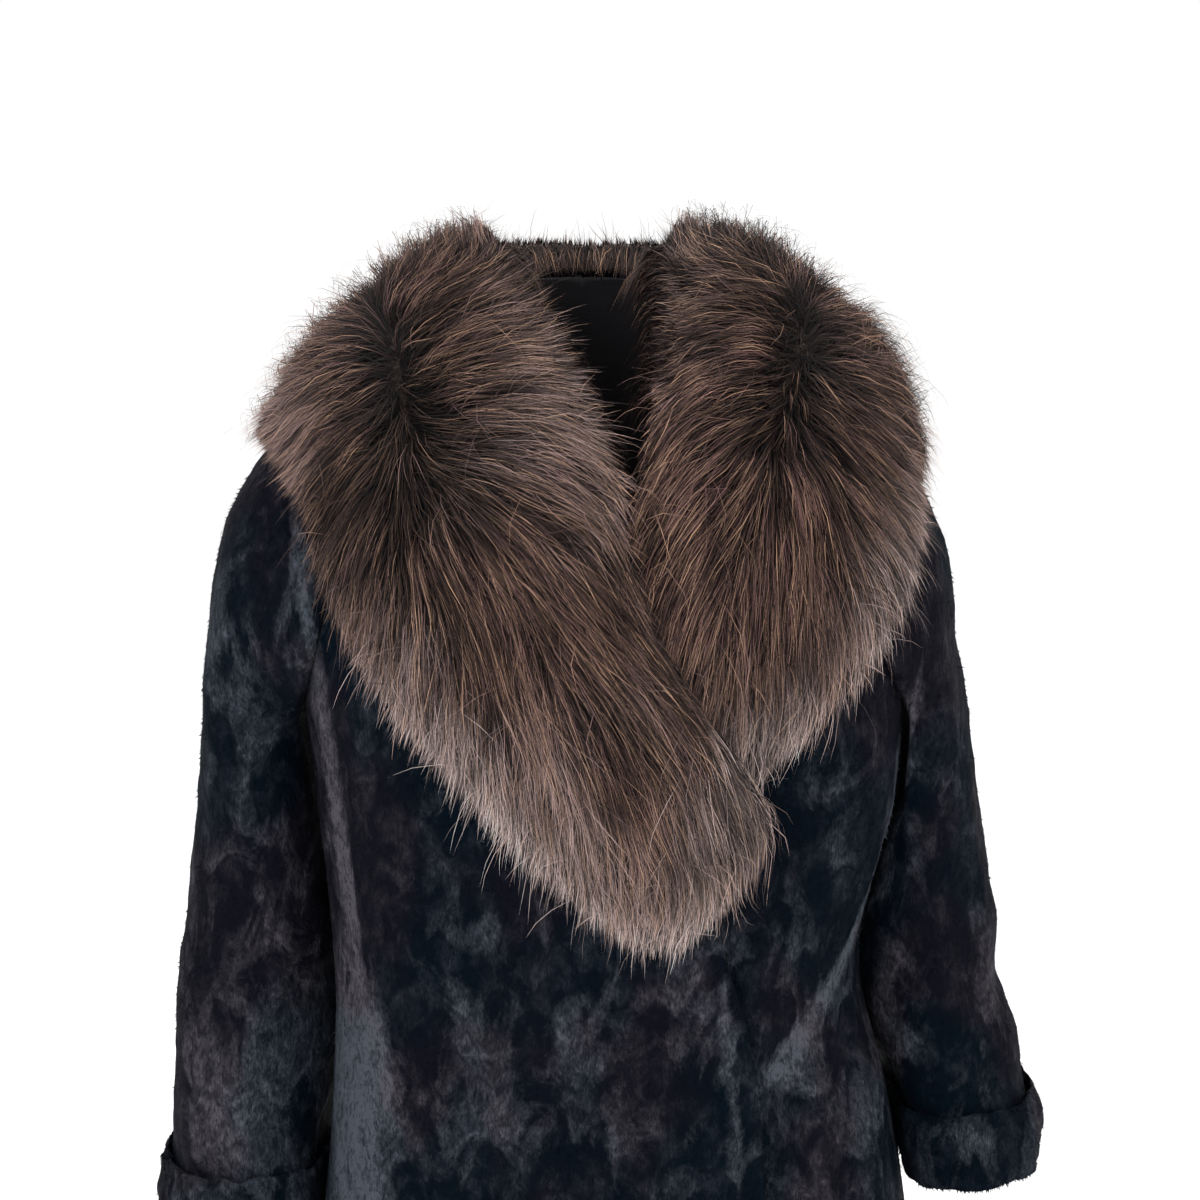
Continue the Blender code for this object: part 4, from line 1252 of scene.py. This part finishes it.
    def lay_skin(self) -> None:
        """Work out the skin that the hair grows from: inside the solid, and lower towards its edges."""
        share = np.linspace(0.0, 1.0, self.columns)
        to_tip = 1.0 - np.linspace(0.0, 1.0, self.rows)
        level = self.neck_low + (1.0 - self.neck_low) * ease(share / self.neck_round)
        level *= self.rim_low + (1.0 - self.rim_low) * ease((1.0 - share) / self.rim_round)
        tip = self.tip_low + (1.0 - self.tip_low) * ease(to_tip / self.tip_round)
        level = self.skin * level[None, :] * tip[:, None]
        height = self.low + (self.top - self.low) * level
        share = share[None, :, None]
        chord = self.neck[:, None, :] * (1 - share) + self.rim[:, None, :] * share
        self.surface = chord + self.stand[:, None, :] * height[:, :, None]
        self.floor = chord + self.stand[:, None, :] * (self.low + self.floor_gap)[:, :, None]
        self.run = np.gradient(self.surface, axis=0) * (self.rows - 1)
        self.width = np.gradient(self.surface, axis=1) * (self.columns - 1)
        self.facing = unit(np.cross(self.run, self.width) * self.side.value)

    def look_up(self, grid: Array, along: Array, out: Array) -> Array:
        """Read a grid of vectors between its places.

        Args:
            grid: its rows run along the collar, its columns across it.
            along: where each place is along the collar.
            out: where it is across it.

        Returns:
            The vector at each place.
        """
        row = np.clip(along, 0.0, 1.0) * (self.rows - 1)
        column = np.clip(out, 0.0, 1.0) * (self.columns - 1)
        at_row = np.minimum(row.astype(int), self.rows - 2)
        at_column = np.minimum(column.astype(int), self.columns - 2)
        part_row, part_column = (row - at_row)[:, None], (column - at_column)[:, None]
        this, after = (
            grid[number, at_column] * (1 - part_column) + grid[number, at_column + 1] * part_column
            for number in (at_row, at_row + 1)
        )
        return this * (1 - part_row) + after * part_row

    def place_at(self, along: Array, out: Array) -> Place:
        """Find places of the skin. Past its edges it runs on straight.

        Args:
            along: where each place is along the collar.
            out: where it is across it.

        Returns:
            The places.
        """
        run, width = self.look_up(self.run, along, out), self.look_up(self.width, along, out)
        past_along = (along - np.clip(along, 0.0, 1.0))[:, None]
        past_out = (out - np.clip(out, 0.0, 1.0))[:, None]
        point = self.look_up(self.surface, along, out) + run * past_along + width * past_out
        return Place(point, unit(self.look_up(self.facing, along, out)), run, width)

    def combed(self, along: Array, out: Array) -> Lay:
        """Read the comb table between its places. Near rows count most, and far ones a little.

        Args:
            along: where each place is along the collar.
            out: where it is across it.

        Returns:
            How the hair lies there.
        """
        table = np.array(self.combs, float)
        turn = np.radians(table[:, 2])
        facts = np.column_stack([np.cos(turn), np.sin(turn), table[:, 3:]])
        result = np.zeros((len(along), facts.shape[1]))
        at_once = 20000
        for first in range(0, len(along), at_once):
            part = slice(first, first + at_once)
            far = ((along[part, None] - table[None, :, 0]) * self.length) ** 2
            far += ((out[part, None] - table[None, :, 1]) * self.across) ** 2
            weight = np.exp(-far / (2.0 * self.comb_reach**2))
            weight += self.far_weight / (1.0 + far / self.far_reach**2) ** 3
            result[part] = weight @ facts / weight.sum(axis=1, keepdims=True)
        outward, onward = result[:, 0], result[:, 1]
        strength = np.clip(np.hypot(outward, onward), 0.0, 1.0)
        return Lay(np.arctan2(onward, outward), strength, *result[:, 2:].T)

    def build(self, underfur: Material, hair: Material) -> list[Object]:
        """Make the half.

        Args:
            underfur: the body's material.
            hair: the hair's material.

        Returns:
            The body and the pieces of hair.
        """
        body = in_scene(self.body_mesh())
        body.data.materials.append(underfur)
        pieces = [body]
        for coat in COATS:
            for mesh in Growth(self, coat).meshes():
                mesh.materials.append(hair)
                pieces.append(in_scene(mesh))
        for piece in pieces:
            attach(piece, ROOT)
        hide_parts(self.node)
        return pieces

    def body_mesh(self) -> Mesh:
        """Make the closed body of underfur between the skin and the floor it lies on.

        Returns:
            The mesh.
        """
        end, rim = int(self.rows * self.body_end), int(self.columns * self.body_rim)
        upper, lower = self.surface[:end, 1:rim], self.floor[:end, 1:rim]
        points = np.concatenate([upper.reshape(-1, 3), lower.reshape(-1, 3)])
        count = len(points) // 2
        index = np.arange(count).reshape(upper.shape[:2])
        a, b, c, d = (one.ravel() for one in (index[:-1, :-1], index[1:, :-1], index[1:, 1:], index[:-1, 1:]))
        ring = np.concatenate([index[:, 0], index[-1, 1:], index[-2::-1, -1], index[0, -2:0:-1]])
        beside = np.roll(ring, -1)
        top = np.stack([a, b, c, d], axis=-1)
        under = np.stack([d, c, b, a], axis=-1) + count
        sides = np.stack([beside, ring, ring + count, beside + count], axis=-1)
        four = np.concatenate([top, under, sides])
        if self.side is Side.RIGHT:
            four = four[:, ::-1]
        triangles = np.concatenate([four[:, [0, 1, 2]], four[:, [0, 2, 3]]])
        mesh = mesh_of(f"fox_{self.word}_underfur", points, triangles)
        mesh.polygons.foreach_set("use_smooth", np.ones(len(mesh.polygons), bool))
        shape = bmesh.new()
        shape.from_mesh(mesh)
        bmesh.ops.recalc_face_normals(shape, faces=shape.faces)
        if shape.calc_volume(signed=True) < 0.0:
            bmesh.ops.reverse_faces(shape, faces=shape.faces)
        shape.to_mesh(mesh)
        shape.free()
        return mesh


@dataclass
class Growth:
    """One coat of hair growing on one half of the collar.

    Stray is how far a hair turns from the way it is combed. A parting is where the rows of the comb table
    disagree, and wild hairs lie their own way.
    """

    half: CollarHalf
    coat: Coat
    quick_divisor: int = 4
    tries_a_hair: int = 3
    keep_factor: float = 1.3
    tip_end: float = 0.985
    neck_start: float = 0.008
    rim_end: float = 0.962
    hairs_a_lock: int = 9
    fewest_locks: int = 8
    slow_stray: float = 0.75
    parting_lock_stray: float = 1.1
    parting_slow_stray: float = 1.0
    wild_stray: float = 0.6
    lock_lift: float = 5.0
    hair_lift: float = 7.0
    parting_lift: float = 16.0
    wild_lift: float = 20.0
    lift_range: tuple[float, float] = (5.0, 80.0)
    lock_long: float = 0.10
    hair_long: float = 0.15
    long_range: tuple[float, float] = (0.008, 0.080)
    all_tone: float = -0.40
    slow_tone: float = 0.9
    parting_painted_shade: float = -0.8
    lock_tone: float = 0.95
    hair_tone: float = 0.40
    least_spare: float = 0.002
    wild_spare: float = 0.010
    spare_cut: float = 0.60
    reach: float = 0.93
    least_long: float = 0.009
    least_room: float = 0.02
    curl: float = 0.20
    wave: float = 0.0009
    full_turn: float = 6.28
    steps_a_segment: int = 2
    sharpest: float = 0.35
    follow: float = 0.35
    roll_share: float = 0.06
    roll_end: float = 0.62
    roll_long: float = 0.023
    roll_drop: float = -0.75
    roll_grey: float = 0.1
    roundness: float = 0.62

    def __post_init__(self) -> None:
        """Choose the roots, evenly over the skin, and share them out among locks by the nearest of some."""
        half, coat = self.half, self.coat
        self.draw = np.random.default_rng(SEED * 100 + half.side.value + coat.segments * 10)
        wanted = int(coat.strands * half.share) // 1
        tries = wanted * self.tries_a_hair
        along = self.draw.random(tries) * (self.tip_end - half.tip_inset)
        out = self.neck_start + self.draw.random(tries) * (self.rim_end - half.rim_inset)
        run, width = half.look_up(half.run, along, out), half.look_up(half.width, along, out)
        area = np.linalg.norm(np.cross(run, width), axis=1)
        keep = self.draw.random(tries) < area / area.max() * self.keep_factor
        self.along, self.out = along[keep][:wanted], out[keep][:wanted]
        self.count = len(self.along)
        self.locks = max(self.count // self.hairs_a_lock, self.fewest_locks)
        places = [(*pair, 0.0) for pair in zip(self.along * half.length, self.out * half.across)]
        tree = KDTree(self.locks)
        for number in range(self.locks):
            tree.insert(places[number * self.count // self.locks], number)
        tree.balance()
        self.lock = np.array([tree.find(place)[1] for place in places])

    def by_lock(self) -> Array:
        """Draw a change for each lock, and give it to its hairs."""
        return self.draw.normal(size=self.locks)[self.lock]

    def vary(self, shared: float, own: float) -> Array:
        """Draw a change for each lock and another for each hair, and add them up."""
        return shared * self.by_lock() + own * self.draw.normal(size=self.count)

    def drift(self, fine: float, layer: float) -> Array:
        """Give a slow noise over the collar, from about -0.5 to 0.5.

        Args:
            fine: how many turns of the noise go to a metre.
            layer: which of the noises it is.

        Returns:
            The noise at each root.
        """
        half = self.half
        places = zip(self.along * half.length * fine, self.out * half.across * fine)
        level = 9.0 * layer + half.side.value
        return np.array([noise.noise(Vector((*pair, level))) for pair in places])

    def meshes(self) -> list[Mesh]:
        """Grow the hair.

        Returns:
            The meshes it is shared out among.
        """
        coat = self.coat
        lay = self.half.combed(self.along, self.out)
        parting = 1.0 - lay.strength
        wild = self.draw.random(self.count) < coat.wild
        way = lay.way + self.vary(coat.stray, coat.stray) + self.parting_lock_stray * parting * self.by_lock()
        way += self.slow_stray * self.drift(60.0, 1.0)
        way += self.parting_slow_stray * parting * self.drift(40.0, 2.0)
        way += np.where(wild, self.wild_stray * self.draw.normal(size=self.count), 0.0)
        lift = lay.lift + coat.lift + self.vary(self.lock_lift, self.hair_lift)
        lift += self.parting_lift * parting + np.where(wild, self.wild_lift, 0.0)
        lift = np.radians(np.clip(lift, *self.lift_range))
        long = lay.long * coat.long * (1.0 + self.vary(self.lock_long, self.hair_long))
        long = np.clip(np.minimum(long, self.longest(way, wild)), *self.long_range)
        path, normals = self.march(way, lift, long)
        path = self.gather(path)
        tone = lay.tone + self.slow_tone * self.drift(70.0, 3.0) + self.all_tone
        # Partings are darker: painted shade where the hair parts and the fur between the locks lies in
        # shadow.
        tone += self.parting_painted_shade * parting**1.5 + self.vary(self.lock_tone, self.hair_tone * coat.contrast)
        hairs = Hairs(path, normals, DYE.colours(tone, lay.grey, self.draw, coat))
        return self.ribbons(Hairs(*(np.concatenate(pair) for pair in zip(hairs, self.roll()))))

    def longest(self, way: Array, wild: Array) -> Array:
        """Say how long each hair may be to stay near the collar's edges. Some go further, as wisps.

        Args:
            way: the way it points.
            wild: whether it lies its own way.

        Returns:
            The lengths.
        """
        half, along, out = self.half, self.along, self.out
        spare = self.least_spare + self.coat.wisp * self.draw.exponential(size=self.count)
        spare += np.where(wild, self.wild_spare, 0.0)
        at_side = ease((out - 0.60) / 0.20) * ease((along - 0.30) / 0.06) * ease((0.66 - along) / 0.10)
        spare *= 1.0 - self.spare_cut * np.maximum(at_side, ease((0.24 - along) / 0.05))
        neck = out * half.across / np.maximum(-np.cos(way), self.least_room)
        rim = (1.0 - half.rim_inset - out) * half.across / np.maximum(np.cos(way), self.least_room)
        tip = (1.0 - half.tip_inset - along) * half.length / np.maximum(np.sin(way), self.least_room)
        return np.maximum((np.minimum(np.minimum(neck, rim), tip) + spare) / self.reach, self.least_long)

    def march(self, way: Array, lift: Array, long: Array) -> tuple[Array, Array]:
        """Carry each hair over the skin in steps.

        Args:
            way: the way it leaves its root.
            lift: how steeply it leaves.
            long: its length.

        Returns:
            The points of each hair and the way the skin faces beneath them.
        """
        half, along, out = self.half, self.along, self.out
        curl = self.curl * self.draw.normal(size=self.count)
        wave = self.wave * self.draw.normal(size=self.count)
        phase = self.full_turn * self.draw.random(self.count)
        start = half.place_at(along, out)
        path, normals = [start.point], [start.normal]
        steps = self.coat.segments * self.steps_a_segment
        for step in range(1, steps + 1):
            share = step / steps
            here = half.place_at(along, out)
            move = long / steps * (np.cos(lift) + (1.0 - np.cos(lift)) * share)
            along = along + np.sin(way) * move / np.linalg.norm(here.along, axis=1)
            out = out + np.cos(way) * move / np.linalg.norm(here.out, axis=1)
            field = half.combed(np.clip(along, 0, 1), np.clip(out, 0, 1))
            turn = (field.way - way + math.pi) % (2 * math.pi) - math.pi
            way = way + np.clip(turn, -self.sharpest, self.sharpest) * self.follow + curl / steps
            if step % self.steps_a_segment:
                continue
            there = half.place_at(along, out)
            rise = long * np.sin(lift) * (share - 0.55 * share * share)
            beside = unit(np.cross(there.normal, unit(there.along)))
            sway = wave * np.sin(phase + 5.0 * share)
            path.append(there.point + there.normal * rise[:, None] + beside * sway[:, None])
            normals.append(there.normal)
        return np.stack(path, axis=1), np.stack(normals, axis=1)

    def gather(self, path: Array) -> Array:
        """Draw the tips of each lock's hairs together, less so near the collar's edges.

        Args:
            path: the points of each hair.

        Returns:
            The new points.
        """
        members = np.maximum(np.bincount(self.lock, minlength=self.locks), 1)
        middle = np.zeros((self.locks, path.shape[1], 3))
        for station in range(path.shape[1]):
            for axis in range(3):
                total = np.bincount(self.lock, weights=path[:, station, axis], minlength=self.locks)
                middle[:, station, axis] = total / members
        edge = np.maximum(ease((self.out - 0.70) / 0.25), ease((0.16 - self.out) / 0.14))
        pull = self.coat.gather * (1.0 - 0.75 * edge) * self.draw.random(self.locks)[self.lock]
        share = np.linspace(0.0, 1.0, path.shape[1])[None, :, None]
        return path + (middle[self.lock] - path) * pull[:, None, None] * share**1.4

    def roll(self) -> Hairs:
        """Grow the hair that turns over the neck edge and covers the collar's inner side there.

        Returns:
            The hairs.
        """
        half, coat, draw = self.half, self.coat, self.draw
        count = int(self.count * self.roll_share)
        along, level = draw.random(count) * self.roll_end, draw.random((count, 1))
        edge = np.full(count, 0.02)
        low, high = half.look_up(half.floor, along, edge), half.look_up(half.surface, along, edge)
        root = low * (1.0 - level) + high * level
        beyond = -unit(half.look_up(half.width, along, edge))
        down = unit(low - high)
        sideways = unit(half.look_up(half.run, along, edge))
        long = (self.roll_long + 0.006 * draw.normal(size=(count, 1))) * (0.7 + 0.5 * level)
        swing = 0.30 * draw.normal(size=(count, 1))
        drop = np.array([0.0, 0.0, self.roll_drop])
        path = []
        for share in np.linspace(0.0, 1.0, coat.segments + 1):
            step = beyond * (1.30 - 0.60 * share) * share + down * (0.25 + 0.45 * share) * share
            path.append(root + long * (step + sideways * swing * share + drop * share * share))
        tone = -0.2 + 0.4 * draw.normal(size=count)
        normals = np.repeat(unit(beyond + down * 0.5)[:, None, :], coat.segments + 1, axis=1)
        colours = DYE.colours(tone, np.full(count, self.roll_grey), draw, coat)
        return Hairs(np.stack(path, axis=1), normals, colours)

    def ribbons(self, hairs: Hairs) -> list[Mesh]:
        """Make each hair a thin tapered ribbon that is shaded as if round.

        Args:
            hairs: the hairs.

        Returns:
            The meshes they are shared out among.
        """
        path, normals, colours = hairs
        coat, count = self.coat, len(path)
        run = np.gradient(path, axis=1)
        flat = unit(np.cross(normals, run))
        roll = np.radians(self.draw.normal(size=(count, 1, 1)) * 24.0)
        flat = flat * np.cos(roll) + unit(np.cross(run, flat)) * np.sin(roll)
        facing = unit(np.cross(run, flat))
        profile = np.linspace(0.85, 0.70, coat.segments)
        profile[len(profile) // 2] = 1.0
        half = coat.half_width * (0.6 + 0.8 * self.draw.random((count, 1, 1))) * profile[None, :, None]
        sides = [path[:, :-1] + flat[:, :-1] * half * sign for sign in (-1.0, 1.0)]
        shades = [unit(facing[:, :-1] + flat[:, :-1] * self.roundness * sign) for sign in (-1.0, 1.0)]
        points = np.concatenate([np.stack(sides, axis=2).reshape(count, -1, 3), path[:, -1:]], axis=1)
        shade = np.concatenate([np.stack(shades, axis=2).reshape(count, -1, 3), facing[:, -1:]], axis=1)
        tint = np.concatenate([np.repeat(colours[:, :-1], 2, axis=1), colours[:, -1:]], axis=1)
        pattern = []
        for pair in range(0, 2 * coat.segments - 2, 2):
            pattern += [[pair, pair + 3, pair + 1], [pair, pair + 2, pair + 3]]
        pattern.append([2 * coat.segments - 2, 2 * coat.segments, 2 * coat.segments - 1])
        each = points.shape[1]
        meshes = []
        for number, part in enumerate(np.array_split(np.arange(count), coat.pieces), 1):
            name = f"fox_{self.half.word}_{coat.name}_{number}"
            base = (np.arange(len(part)) * each)[:, None, None]
            triangles = (np.array(pattern)[None] + base).reshape(-1, 3)
            mesh = mesh_of(name, points[part].reshape(-1, 3), triangles)
            set_normals(mesh, shade[part].reshape(-1, 3))
            rgba = np.ones((len(part) * each, 4), np.float32)
            rgba[:, :3] = tint[part].reshape(-1, 3)
            layer = mesh.color_attributes.new(FoxHair.attribute, "FLOAT_COLOR", "POINT")
            layer.data.foreach_set("color", rgba.ravel())
            meshes.append(mesh)
        return meshes


# ------------------------------------------------------------ the studio


class Lamp(NamedTuple):
    """A soft square lamp that points at the coat."""

    name: str
    place: Triple
    size: float
    power: float
    colour: Triple


LAMPS = (
    Lamp("key", (-1.9, -2.3, 1.7), 2.0, 60.0, (0.93, 0.97, 1.0)),
    Lamp("fill", (2.2, -2.4, 0.5), 2.4, 40.0, (1.0, 0.97, 0.94)),
    Lamp("top", (0.0, 0.3, 2.4), 2.0, 55.0, (1.0, 0.99, 0.97)),
)


@dataclass
class Studio:
    """The camera, the lamps and the paper."""

    eye: Triple = (0.0135, -2.2, 0.248)
    target: Triple = (0.0135, 0.0, -0.22)
    lens: float = 91.1
    sensor: float = 36.0
    farthest: float = 50.0
    lit: Triple = (0.0, 0.0, -0.3)
    sky: float = 1.02
    floor_z: float = -1.13
    paper_size: float = 10.0

    def build(self) -> None:
        """Set up the studio."""
        scene = bpy.context.scene
        eye = bpy.data.objects.new("camera", bpy.data.cameras.new("camera"))
        eye.data.lens, eye.data.sensor_width, eye.data.clip_end = self.lens, self.sensor, self.farthest
        self.aim(eye, self.eye, self.target)
        scene.camera = eye
        scene.view_settings.view_transform = "Standard"
        scene.world = bpy.data.worlds.new("studio")
        scene.world.use_nodes = True
        sky = scene.world.node_tree.nodes["Background"].inputs
        sky["Color"].default_value = (1.0, 1.0, 1.0, 1.0)
        sky["Strength"].default_value = self.sky
        self.paper()
        for lamp in LAMPS:
            light = bpy.data.lights.new(lamp.name, "AREA")
            light.shape, light.size, light.energy, light.color = "SQUARE", lamp.size, lamp.power, lamp.colour
            self.aim(bpy.data.objects.new(lamp.name, light), lamp.place, self.lit)

    def aim(self, thing: Object, place: Triple, target: Triple) -> None:
        """Put a camera or a lamp in the scene and point it at something.

        Args:
            thing: the camera or lamp.
            place: where it stands.
            target: what it points at.
        """
        bpy.context.scene.collection.objects.link(thing)
        thing.location = place
        thing.rotation_euler = (Vector(target) - Vector(place)).to_track_quat("-Z", "Y").to_euler()

    def paper(self) -> None:
        """Lay the paper under the coat."""
        clear_selection()
        bpy.ops.mesh.primitive_plane_add(size=self.paper_size, location=(0.0, 0.0, self.floor_z))
        paper = bpy.context.active_object
        paper.name = "paper"
        paper.data.materials.append(StudioPaper().make())


def main() -> None:
    """Dress the coat."""
    logging.basicConfig(level=logging.INFO, format="%(message)s")
    clear_selection()
    Studio().build()
    mink, lining = ShearedMink().make(), PlainLining().make()
    underfur, hair = FoxUnderfur().make(), FoxHair().make()
    made = []
    for number, panel in enumerate(PANELS):
        made += panel.build(mink, lining, number)
    made += CollarHalf(Side.LEFT, LEFT_SECTIONS, LEFT_COMB, 0.45, rim_inset=0.040).build(underfur, hair)
    made += CollarHalf(Side.RIGHT, RIGHT_SECTIONS, RIGHT_COMB, 0.55).build(underfur, hair)
    for piece in made:
        LOG.info("%s: %d faces", piece.name, len(piece.data.polygons))


if __name__ == "__main__":
    main()
